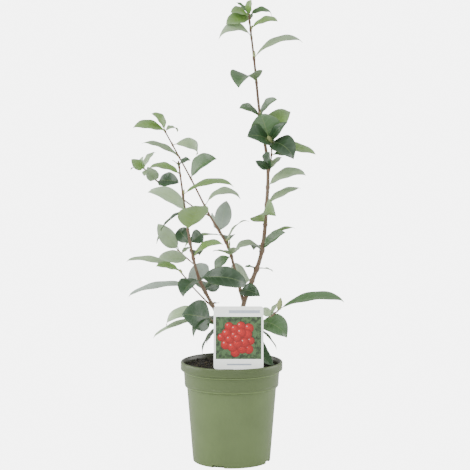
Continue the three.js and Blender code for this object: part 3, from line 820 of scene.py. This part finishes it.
def trunk_rings():
    """Rings of the trunk from below the soil to its fork, with its root flare."""
    angles = [math.tau * side / TRUNK_SIDES for side in range(TRUNK_SIDES)]
    flares = [FLARE_SHARE + FLARE_DEPTH * math.cos(FLARE_LOBES * angle) for angle in angles]
    rings = []
    for step in range(TRUNK_STEPS + 1):
        share = step / TRUNK_STEPS
        centre = TRUNK.at(share)
        low = math.exp(-max(centre.z - SOIL_TOP, 0) / FLARE_HEIGHT)
        radii = [TRUNK.radius(share) * (1 + low * flare) for flare in flares]
        rings.append(circle(centre, TRUNK.along(share), radii))
    return rings


def furrow(piece, settings):
    """Presses the bark's relief into a fused mesh, deepest near the ground."""
    spots = [vertex.co.copy() for vertex in piece.data.vertices]
    normals = [vertex.normal.copy() for vertex in piece.data.vertices]
    for vertex, spot, normal in zip(piece.data.vertices, spots, normals):
        low = math.exp(-max(spot.z - SOIL_TOP * MM, 0) / FURROW_FADE)
        streak = noise.noise(Vector([part * grains for part, grains in zip(spot, STREAKS)]))
        lump = noise.noise(spot * LUMPS)
        depth = settings.relief * (FADED_SHARE + (1 - FADED_SHARE) * low)
        relief = STREAK_SHARE * streak + (1 - STREAK_SHARE) * lump
        vertex.co = spot + normal * (depth * relief)


class CAMELLIA_OT_wood(bpy.types.Operator):
    """Fuse the trunk, boughs and twigs into one mesh with the bark's relief"""
    bl_idname = 'camellia.wood'
    bl_label = 'Grow wood'

    def execute(self, context):
        settings = context.scene.camellia_wood
        gathered = Gathered()
        gathered.skin(trunk_rings())
        for shoot, leaves, buds in GROWTH:
            nodes = [shoot.at(shoot.share_at(item.height)).z for item in [*leaves, *buds]]
            gathered.skin(stem_rings(shoot, nodes, settings))
        piece = gathered.mesh()
        apply_modifier(piece, 'REMESH', mode='VOXEL', voxel_size=settings.voxel)
        apply_modifier(piece, 'SMOOTH', iterations=3, factor=0.5)
        furrow(piece, settings)
        select(piece)
        bpy.ops.object.shade_smooth()
        settle(piece, 'wood', [bark_finish(settings)], LIMBS)
        return {'FINISHED'}


# Leaves

# Places across a leaf, from one margin to the other; those within MIDRIB bound the midrib
COLUMNS = (1, 0.96, 0.7, 0.38, 0.025, -0.025, -0.38, -0.7, -0.96, -1)
MIDRIB = 0.1

# Factors that bring a blade's widest place and its midrib's highest place to 1
WIDEST = 2.74
HIGHEST = 2.6

# Half the width of a leaf's point, in millimetres, and how near its direction is measured
POINT = 0.08
NEARBY = 0.015

# How far each tone's painted sheen leans to the grey of a mirroring leaf; a blade pales towards
# that sheen at its margin and tip
SHEEN = {'deep': 0.2, 'green': 0.28, 'young': 0.55, 'pale': 0.8, 'grey': 0.6}
UPPER, UNDER, RIB = 0, 1, 2
SIDES = {'right': (1, 0, 0), 'left': (-1, 0, 0), 'front': (0, -1, 0), 'up': (0, 0, 1)}


def facing(looks):
    """The direction that a leaf's upper face looks in."""
    if not isinstance(looks, str):
        tilt = math.radians(looks)
        return Vector((0, -math.sin(tilt), math.cos(tilt)))
    return sum((Vector(SIDES[word]) for word in looks.split()), Vector()).normalized()


def across(vector, axis):
    """The part of a vector that is square to an axis, as a direction."""
    return (vector - axis * vector.dot(axis)).normalized()


def outline(share):
    """Half a blade's width as a share of its widest, drawn out to a point at the tip."""
    root = STALK_SHARE * 0.8
    blade = (share - root) / (1 - root)
    if blade <= 0 or blade >= 1:
        return 0
    return WIDEST * blade ** 0.7 * (1 - blade) ** 0.75


def bow(share):
    """How far the midrib stands off the straight line from root to tip, as a share of its arch."""
    return HIGHEST * share ** 0.8 * (1 - share) ** 0.6


def leaf_rings(shoot, leaf, settings, chance):
    """Rings of points across a leaf, from its root in the stem to its tip."""
    root = shoot.at(shoot.share_at(leaf.height))
    tip = place(seen(root) + Vector(leaf.reach))
    chord = tip - root
    length = chord.length
    upper = across(facing(leaf.looks), chord.normalized())
    thick, stalk, tooth, vein, wave = (getattr(settings, name) / MM for name in
                                       ('thickness', 'stalk', 'tooth', 'vein', 'wave'))
    phase = chance.uniform(0, math.tau)

    def centre(share):
        share = min(max(share, 0), 1)
        return root + chord * share + upper * (leaf.arch * bow(share))

    rings = []
    for station in range(settings.stations + 1):
        share = (station / settings.stations) ** 1.04
        along = (centre(share + NEARBY) - centre(share - NEARBY)).normalized()
        normal = across(upper, along)
        side = normal.cross(along)
        blade = length * leaf.width * outline(share) / 2
        stem = stalk * min(1, 8 * (1 - share)) * (0.9 if share > 0.12 else 1)
        half = max(blade, stem, POINT)
        flat = min(blade / (4 * stalk), 1)
        skin = (stalk * 0.8 * (1 - flat) + 0.5 * thick * flat) * (1 - 0.55 * share)
        teeth = tooth * flat * (0.5 if station % 2 else -0.5)
        top, bottom = [], []
        for column in COLUMNS:
            out = abs(column)
            reach = half * column + math.copysign(teeth, column) * (out == 1)
            lift = leaf.fold * half * out ** 1.25 * flat
            swing = math.sin(WAVES * math.tau * share + phase + 2 * column)
            lift += wave * flat * column ** 2 * swing
            pattern = math.cos(math.tau * (settings.side_veins * share - VEIN_SLANT * out))
            lift -= vein * flat * pattern * (1 - column ** 2) * (out > MIDRIB)
            body = skin * (math.sqrt(1 - column ** 2) if flat < 0.6 else 1 - column ** 4)
            rib = 0.35 * stalk * flat * (1 - share) * (out < MIDRIB)
            spot = centre(share) + side * reach + normal * lift
            top.append(spot + normal * (body - 0.5 * rib))
            bottom.append(spot - normal * (body + rib))
        rings.append(top + bottom[-2:0:-1])
    return rings


def leaf_strips():
    """Which finish each strip of a leaf's ring takes: upper face, underside, or rib and margin."""
    pairs = list(zip(COLUMNS, COLUMNS[1:]))
    ribs = [pair in (pairs[0], pairs[-1]) or pair[0] * pair[1] < 0 for pair in pairs]
    return [RIB if rib else UPPER for rib in ribs] + [RIB if rib else UNDER for rib in ribs[::-1]]


class CAMELLIA_OT_leaves(bpy.types.Operator):
    """Make the leaves, one piece for each tone"""
    bl_idname = 'camellia.leaves'
    bl_label = 'Grow leaves'

    def execute(self, context):
        settings = context.scene.camellia_leaves
        chance = random.Random(7)
        gathered = {tone: Gathered() for tone in TONES}
        strips = leaf_strips()
        shares = [station / settings.stations for station in range(settings.stations + 1)]
        edges = [abs(column) for column in (*COLUMNS, *COLUMNS[-2:0:-1])]
        for shoot, leaves, _ in GROWTH:
            for leaf in leaves:
                luck = chance.random()
                marks = [(share, edge, luck) for share in shares for edge in edges]
                rings = leaf_rings(shoot, leaf, settings, chance)
                gathered[leaf.tone].skin(rings, strips, marks=marks)
        for tone in TONES:
            name = f'leaf_{tone}'
            colour = getattr(settings, tone)
            sheen = blend(colour, settings.grey, SHEEN[tone])
            below = blend(colour, settings.under, 0.4)
            finishes = [blade_finish(name, colour, sheen, 0.36, 0.2, settings.side_veins),
                        blade_finish(f'{name}_under', below, sheen, 0.55, 0, settings.side_veins),
                        rib_finish(f'{name}_rib', blend(colour, settings.rib, 0.3))]
            settle(gathered[tone].mesh(), f'leaves_{tone}', finishes, MASSES)
        return {'FINISHED'}


# Buds, in millimetres. Two scales side by side wind round a bud towards its tip, and stand out by a
# share of its width. A resting bud's lean, length and width lie between two values.

SCALES_ROUND = 2
SCALE_TURNS = 3.4
SCALE_RISE = 0.09
RESTING_LIFT = 1.2
RESTING_LEAN = (0.8, 1.4)
RESTING_LENGTH = (1.8, 3.2)
RESTING_WIDTH = (1.1, 1.7)


def bud_rings(root, reach, width, sides=12, steps=10):
    """Rings of a pointed bud with scales that wind round it."""
    rings = []
    for step in range(steps + 1):
        share = step / steps
        full = math.sin(math.pi * (0.06 + 0.94 * share) ** 0.85) ** 0.75
        scales = [(SCALE_TURNS * share + SCALES_ROUND * side / sides) % 1
                  for side in range(sides)]
        radii = [max(width / 2 * full * (1 + SCALE_RISE * scale), POINT) for scale in scales]
        rings.append(circle(root + reach * share, reach.normalized(), radii, Vector((0, 1, 0))))
    return rings


class CAMELLIA_OT_buds(bpy.types.Operator):
    """Make the buds, with a small resting bud above each leaf"""
    bl_idname = 'camellia.buds'
    bl_label = 'Grow buds'

    def execute(self, context):
        settings = context.scene.camellia_leaves
        chance = random.Random(11)
        gathered = Gathered()
        for shoot, leaves, buds in GROWTH:
            for bud in buds:
                root = shoot.at(shoot.share_at(bud.height))
                gathered.skin(bud_rings(root, Vector(bud.reach), bud.width))
            for leaf in leaves:
                share = shoot.share_at(leaf.height)
                along = shoot.along(share)
                outward = across(Vector(leaf.reach), along)
                lean = (outward + along * chance.uniform(*RESTING_LEAN)).normalized()
                reach = shoot.radius(share) + chance.uniform(*RESTING_LENGTH)
                root = shoot.at(share) + along * RESTING_LIFT
                width = chance.uniform(*RESTING_WIDTH)
                gathered.skin(bud_rings(root, lean * reach, width, sides=8, steps=6))
        settle(gathered.mesh(), 'buds', [bud_finish(settings)], MASSES)
        return {'FINISHED'}


# Pot and soil, in millimetres. The soil's layers of roughness have grains a millimetre, a place in
# the noise and a rise. It is calmer round the trunk, and dips from its level part to the wall.

GAP = 0.3
SOIL_RINGS = 34
SOIL_LAYERS = ((0.07, 0.3, 1.6), (0.24, 1.7, 1.1), (0.8, 4.1, 0.5))
CALM_SHARE = 0.35
CALM_REACH = 60
LEVEL_REACH = 52
SOIL_DIP = 1.5
CRUMB_REACH = 66
CRUMB_SIZES = (0.7, 1, 1.3, 1.8, 2.6)
CRUMB_FORM = (0.45, 1, 0.85, 0.3)
CRUMB_SIDES = 5


def turned(profile, sides):
    """Turns a profile of (radius, height) round the pot's axis, ring by ring, and closes it."""
    deselect()
    radius, height = profile[0]
    bpy.ops.mesh.primitive_circle_add(vertices=sides, radius=radius * MM, fill_type='NOTHING',
                                      location=(0, 0, height * MM))
    piece = bpy.context.object
    bpy.ops.object.transform_apply(location=True)
    bpy.ops.object.mode_set(mode='EDIT')
    bpy.ops.mesh.select_all(action='SELECT')
    for next_radius, next_height in profile[1:]:
        rise = (0, 0, (next_height - height) * MM)
        grow = next_radius / radius
        bpy.ops.mesh.extrude_edges_move(TRANSFORM_OT_translate={'value': rise})
        bpy.ops.transform.resize(value=(grow, grow, 1), center_override=(0, 0, next_height * MM))
        radius, height = next_radius, next_height
    bpy.ops.mesh.select_all(action='SELECT')
    bpy.ops.mesh.fill_holes(sides=0)
    bpy.ops.mesh.normals_make_consistent(inside=False)
    bpy.ops.object.mode_set(mode='OBJECT')
    return piece


def arc(centre, radius, start, end, steps):
    """Points of a round stretch of a profile, between two angles in degrees."""
    angles = [math.radians(start + (end - start) * step / steps) for step in range(steps + 1)]
    return [(centre[0] + radius * math.cos(angle), centre[1] + radius * math.sin(angle))
            for angle in angles]


def pot_profile(ridge):
    """The pot's wall from the rim of its foot, up its outside, over the lip and down inside."""
    def wall(height):
        return BASE_RADIUS + (BODY_TOP_RADIUS - BASE_RADIUS) * height / BAND_BOTTOM

    def band(height):
        share = (height - BAND_BOTTOM) / (LIP_BOTTOM - BAND_BOTTOM)
        return BAND_BOTTOM_RADIUS + (BAND_TOP_RADIUS - BAND_BOTTOM_RADIUS) * share

    def raised(height):
        radius = band(height)
        return [(radius, height - 0.6), (radius + ridge, height - 0.2),
                (radius + ridge, height + 0.2), (radius, height + 0.6)]

    profile = arc((BASE_RADIUS - FOOT_ROUND, FOOT_ROUND), FOOT_ROUND, -90, 0, 4)
    profile += [(wall(height), height) for height in (20, 45, 70, 88)]
    profile += [(wall(BAND_BOTTOM - 1.2), BAND_BOTTOM - 1.2),
                (BAND_BOTTOM_RADIUS - 1.6, BAND_BOTTOM - 0.3)]
    profile += arc((BAND_BOTTOM_RADIUS - 1, BAND_BOTTOM + 0.9), 1, -80, 0, 3)
    profile += raised(BAND_BOTTOM + 4)
    profile += [(band(height), height) for height in (BAND_BOTTOM + 10, BAND_BOTTOM + 18)]
    profile += raised(LIP_BOTTOM - 3.4)
    profile += [(band(LIP_BOTTOM - 1), LIP_BOTTOM - 1)]
    profile += arc((LIP_RADIUS - 1.6, LIP_BOTTOM + 1.8), 1.6, -85, 0, 4)
    profile += [(LIP_RADIUS, POT_HEIGHT - 5)]
    profile += arc((LIP_RADIUS - LIP_ROUND, POT_HEIGHT - LIP_ROUND), LIP_ROUND, 0, 150, 8)
    profile += [(BAND_TOP_RADIUS - 0.7, POT_HEIGHT - 6),
                (band(LIP_BOTTOM) - POT_WALL, LIP_BOTTOM - 1),
                (BAND_BOTTOM_RADIUS - POT_WALL, BAND_BOTTOM + 3),
                (BODY_TOP_RADIUS - POT_WALL, BAND_BOTTOM - 2),
                (BASE_RADIUS - POT_WALL, POT_FLOOR + 1.5), (BASE_RADIUS - 2 * POT_WALL, POT_FLOOR)]
    return profile


class CAMELLIA_OT_pot(bpy.types.Operator):
    """Turn the pot and cut the notches in its foot"""
    bl_idname = 'camellia.pot'
    bl_label = 'Turn pot'

    def execute(self, context):
        settings = context.scene.camellia_pot
        piece = turned(pot_profile(settings.ridge / MM), settings.sides)
        for count in range(NOTCHES):
            angle = FIRST_NOTCH + math.tau * count / NOTCHES
            spot = (BASE_RADIUS * MM * math.cos(angle), BASE_RADIUS * MM * math.sin(angle), 0)
            deselect()
            bpy.ops.mesh.primitive_cube_add(size=1, location=spot, rotation=(0, 0, angle))
            cutter = bpy.context.object
            cutter.scale = (2 * NOTCH_DEPTH * MM, NOTCH_WIDTH * MM, 2 * NOTCH_HEIGHT * MM)
            combine(piece, cutter, 'DIFFERENCE')
        select(piece)
        bpy.ops.object.shade_smooth_by_angle(angle=math.radians(32))
        settle(piece, 'pot_shell', [plastic_finish(settings)], ['pot'])
        return {'FINISHED'}


def soil_height(x, y):
    """Height of the soil's rough top, in millimetres."""
    reach = math.hypot(x, y)
    rough = sum(noise.noise(Vector((x * grains, y * grains, layer))) * rise
                for grains, layer, rise in SOIL_LAYERS)
    dip = SOIL_DIP * max(0, (reach - LEVEL_REACH) / (CRUMB_REACH - LEVEL_REACH))
    return SOIL_TOP + rough * min(1, CALM_SHARE + reach / CALM_REACH) - dip


def crumb_rings(centre, size, chance):
    """Rings of a small angular lump."""
    turn = Vector([chance.uniform(-most, most) for most in (1, 1, 0.6)]).normalized()
    flat = chance.uniform(0.35, 0.9)
    rings = []
    for step, full in enumerate(CRUMB_FORM):
        radii = [size * full * flat * chance.uniform(0.7, 1.2) for _ in range(CRUMB_SIDES)]
        middle = centre + turn * (size * (step - 1.5) * 0.6)
        rings.append(circle(middle, turn, radii, Vector((0, 0, 1))))
    return rings


class CAMELLIA_OT_soil(bpy.types.Operator):
    """Fill the pot with rough soil and strew crumbs of bark on it"""
    bl_idname = 'camellia.soil'
    bl_label = 'Fill soil'

    def execute(self, context):
        settings = context.scene.camellia_pot
        chance = random.Random(5)
        inner = POT_WALL + GAP
        edge = BAND_TOP_RADIUS - inner - 0.3
        profile = [(BASE_RADIUS - inner - 2, POT_FLOOR + GAP), (BASE_RADIUS - inner, POT_FLOOR + 2),
                   (BODY_TOP_RADIUS - inner, BAND_BOTTOM - 2),
                   (BAND_BOTTOM_RADIUS - inner, BAND_BOTTOM + 3.4), (edge, SOIL_TOP - 3)]
        profile += [(edge * (1 - ring / SOIL_RINGS) + 0.6, SOIL_TOP)
                    for ring in range(1, SOIL_RINGS + 1)]
        piece = turned(profile, settings.sides)
        for vertex in piece.data.vertices:
            x, y, z = vertex.co / MM
            if z > SOIL_TOP - 2:
                vertex.co.z = soil_height(x, y) * MM
        select(piece)
        bpy.ops.object.shade_smooth()
        settle(piece, 'soil_fill', [soil_finish(settings)], ['soil'])
        gathered = Gathered()
        for _ in range(settings.crumbs):
            angle = chance.uniform(0, math.tau)
            reach = CRUMB_REACH * math.sqrt(chance.uniform(0.02, 1))
            x, y = reach * math.cos(angle), reach * math.sin(angle)
            size = chance.choice(CRUMB_SIZES)
            centre = Vector((x, y, soil_height(x, y) + 0.2 * size))
            gathered.skin(crumb_rings(centre, size, chance), slot=chance.choice((0, 0, 0, 1)))
        finishes = [crumb_finish('crumb_dark', settings.soil),
                    crumb_finish('crumb_bark', settings.crumb)]
        settle(gathered.mesh(smooth=False), 'soil_crumbs', finishes, ['soil'])
        return {'FINISHED'}


# Label

def sheet(left, right, bottom, top, y, thickness, corner=0):
    """An upright flat piece with rounded corners, from the card's middle line, its front at y."""
    deselect()
    middle = ((CARD_MIDDLE + (left + right) / 2) * MM, y * MM, (bottom + top) / 2 * MM)
    bpy.ops.mesh.primitive_plane_add(size=1, location=middle, rotation=(math.pi / 2, 0, 0))
    piece = bpy.context.object
    piece.scale = ((right - left) * MM, (top - bottom) * MM, 1)
    bpy.ops.object.transform_apply(location=True, rotation=True, scale=True)
    if corner:
        bpy.ops.object.mode_set(mode='EDIT')
        bpy.ops.mesh.select_all(action='SELECT')
        bpy.ops.mesh.bevel(offset=corner * MM, segments=6, affect='VERTICES')
        bpy.ops.object.mode_set(mode='OBJECT')
    apply_modifier(piece, 'SOLIDIFY', thickness=thickness * MM, offset=-1)
    return piece


def print_shape(gathered, points, slot):
    """Prints a flat shape, as thin as half a step between two layers of ink."""
    back = [point - Vector((0, INK_STEP / 2, 0)) for point in points]
    gathered.skin([points, back], slot=slot)


def disc(x, y, z, radius):
    return circle(Vector((x, y, z)), Vector((0, -1, 0)), [radius] * 28, Vector((0, 0, 1)))


def printed_leaf(x, y, z, turn):
    """The outline of a pointed leaf that grows from x, z at a turn in degrees."""
    along = Vector((math.cos(math.radians(turn)), 0, math.sin(math.radians(turn))))
    side = Vector((-along.z, 0, along.x))
    edge = [(step / 12, PRINTED_HALF * math.sin(math.pi * step / 12) ** 0.8)
            for step in range(12)]
    edge += [(1, 0)] + [(share, -half) for share, half in reversed(edge[1:])]
    return [Vector((x, y, z)) + (along * share + side * half) * PRINTED_LEAF
            for share, half in edge]


class CAMELLIA_OT_label(bpy.types.Operator):
    """Cut the label's card and print a plain cluster of berries on it"""
    bl_idname = 'camellia.label'
    bl_label = 'Cut label'

    def execute(self, context):
        settings = context.scene.camellia_label
        front = CARD_Y - CARD_THICKNESS / 2
        side, tongue = CARD_WIDTH / 2, TONGUE_WIDTH / 2
        card = sheet(-side, side, CARD_BOTTOM, CARD_TOP, front, CARD_THICKNESS,
                     settings.corner / MM)
        foot = sheet(-tongue, tongue, TONGUE_BOTTOM, CARD_BOTTOM + 3, front, CARD_THICKNESS)
        combine(card, foot, 'UNION')
        apply_modifier(card, 'BEVEL', width=CARD_EDGE * MM, segments=2, limit_method='ANGLE')
        # The card glows in its own colour: painted light
        plastic = card_finish('label_card', settings.card, settings.glow)
        settle(card, 'label_card', [plastic], ['label'])
        ink = settings.ink / MM
        for name, bar in BARS.items():
            finish = card_finish(f'print_{name}', settings.bars)
            settle(sheet(*bar, front - ink, ink, BAR_CORNER), name, [finish], ['label'])
        panel = sheet(-PANEL_SIDE, PANEL_SIDE, PANEL_BOTTOM, PANEL_TOP, front - ink, ink)
        ground = mottled_finish('print_ground', shade(settings.ground, 0.45),
                                shade(settings.ground, 2.2))
        settle(panel, 'label_panel', [ground], ['label'])
        self.print_picture(settings, front - 2 * ink)
        return {'FINISHED'}

    def print_picture(self, settings, y):
        """Prints leaves and berries on the panel, each shape a step in front of the last."""
        gathered = Gathered()
        chance = random.Random(3)
        for x in LEAF_COLUMNS:
            for z in LEAF_ROWS:
                turn = chance.uniform(*PRINTED_TURNS)
                tip = x + (PRINTED_LEAF + 1) * math.cos(math.radians(turn))
                if abs(tip - CARD_MIDDLE) < PANEL_SIDE - LEAF_MARGIN:
                    print_shape(gathered, printed_leaf(x, y, z, turn), 0)
                    y -= INK_STEP
        for berry in reversed(range(BERRIES)):
            away = BERRY_SPREAD * math.sqrt(berry)
            x = CLUSTER[0] + away * math.cos(berry * GOLDEN_TURN)
            z = CLUSTER[1] + away * math.sin(berry * GOLDEN_TURN)
            radius = chance.uniform(*BERRY_RADII)
            for size, shift, slot in BERRY_DISCS:
                y -= INK_STEP
                spot = (x - radius * shift, y, z + radius * shift)
                print_shape(gathered, disc(*spot, radius * size), slot)
        finishes = [card_finish('print_leaf', settings.leaf)]
        for name, light in (('rim', 0.72), ('berry', 0.95), ('glow', 1.3)):
            finishes.append(card_finish(f'print_{name}', shade(settings.berry, light)))
        finishes.append(card_finish('print_shine', blend(settings.berry, (1, 1, 1), 0.35)))
        settle(gathered.mesh(smooth=False), 'label_print', finishes, ['label'])


# Stage, in metres; each light has its place, the spot that it faces, its size and its share of the
# key light's power

FLOOR_SIZE = 12
FLOOR_GAP = 0.0002
LIGHTS = {
    'key': ((-1.6, -1.6, 2), (0, 0, 0.35), 1.6, 1),
    'front': ((0.5, -3, 1), (0, 0, 0.3), 1.8, 0.4),
    'left': ((-2, 0.3, 0.5), (0, 0, 0.3), 1.8, 0.85),
    'right': ((2, 0.3, 0.5), (0, 0, 0.3), 1.8, 0.85),
}


def area_light(name, spot, target, size, power):
    deselect()
    bpy.ops.object.light_add(type='AREA', location=spot)
    light = bpy.context.object
    light.name = name
    light.data.size = size
    light.data.energy = power
    light.rotation_euler = (Vector(target) - Vector(spot)).to_track_quat('-Z', 'Y').to_euler()


def blank_for_camera(tree, shader, kind, strength):
    """Shows the camera a plain white surface that keeps its own light for everything else."""
    white = tree.nodes.new(kind)
    white.inputs['Color'].default_value = (1, 1, 1, 1)
    white.inputs['Strength'].default_value = strength
    path = tree.nodes.new('ShaderNodeLightPath')
    mix = tree.nodes.new('ShaderNodeMixShader')
    ending = next(node for node in tree.nodes if node.type.startswith('OUTPUT'))
    tree.links.new(path.outputs['Is Camera Ray'], mix.inputs[0])
    tree.links.new(shader, mix.inputs[1])
    tree.links.new(white.outputs[0], mix.inputs[2])
    tree.links.new(mix.outputs[0], ending.inputs['Surface'])


class CAMELLIA_OT_stage(bpy.types.Operator):
    """Set the floor, the light and the camera"""
    bl_idname = 'camellia.stage'
    bl_label = 'Set stage'

    def execute(self, context):
        settings = context.scene.camellia_stage
        deselect()
        bpy.ops.mesh.primitive_plane_add(size=FLOOR_SIZE, location=(0, 0, -FLOOR_GAP))
        floor = bpy.context.object
        floor.name = 'floor'
        finish = Finish('floor', 0.8)
        finish.feed('Base Color', settings.floor)
        blank_for_camera(finish.tree, finish.shader.outputs[0], 'ShaderNodeEmission',
                         settings.paper)
        floor.data.materials.append(finish.material)
        world = bpy.data.worlds.new('studio')
        context.scene.world = world
        world.use_nodes = True
        sky = world.node_tree.nodes['Background']
        sky.inputs['Color'].default_value = (1, 1, 1, 1)
        sky.inputs['Strength'].default_value = settings.sky
        blank_for_camera(world.node_tree, sky.outputs[0], 'ShaderNodeBackground', settings.paper)
        for name, (spot, target, size, share) in LIGHTS.items():
            area_light(name, spot, target, size, settings.key * share)
        deselect()
        bpy.ops.object.camera_add(location=(0, -EYE_DISTANCE * MM, EYE_HEIGHT * MM),
                                  rotation=(math.pi / 2 - settings.pitch, 0, 0))
        camera = bpy.context.object
        camera.data.lens = settings.lens
        camera.data.shift_x = settings.shift
        camera.data.clip_end = 50
        context.scene.camera = camera
        return {'FINISHED'}


# Panel

STEPS = (CAMELLIA_OT_stage, CAMELLIA_OT_pot, CAMELLIA_OT_soil, CAMELLIA_OT_label, CAMELLIA_OT_wood,
         CAMELLIA_OT_leaves, CAMELLIA_OT_buds)
GROUPS = {'camellia_leaves': LeafSettings, 'camellia_wood': WoodSettings,
          'camellia_pot': PotSettings, 'camellia_label': LabelSettings,
          'camellia_stage': StageSettings}


class CAMELLIA_PT_panel(bpy.types.Panel):
    """Sizes, colours and steps of the potted camellia"""
    bl_idname = 'CAMELLIA_PT_panel'
    bl_label = 'Camellia'
    bl_space_type = 'VIEW_3D'
    bl_region_type = 'UI'
    bl_category = 'Camellia'

    def draw(self, context):
        for step in STEPS:
            self.layout.operator(step.bl_idname)
        for name, group in GROUPS.items():
            box = self.layout.box()
            for setting in group.__annotations__:
                box.prop(getattr(context.scene, name), setting)


def register():
    for kind in (*GROUPS.values(), *STEPS, CAMELLIA_PT_panel):
        bpy.utils.register_class(kind)
    for name, group in GROUPS.items():
        setattr(bpy.types.Scene, name, bpy.props.PointerProperty(type=group))


def unregister():
    for name in GROUPS:
        delattr(bpy.types.Scene, name)
    for kind in (CAMELLIA_PT_panel, *reversed(STEPS), *reversed(GROUPS.values())):
        bpy.utils.unregister_class(kind)


def main():
    register()
    for step in STEPS:
        group, name = step.bl_idname.split('.')
        getattr(getattr(bpy.ops, group), name)()


if __name__ == '__main__':
    main()
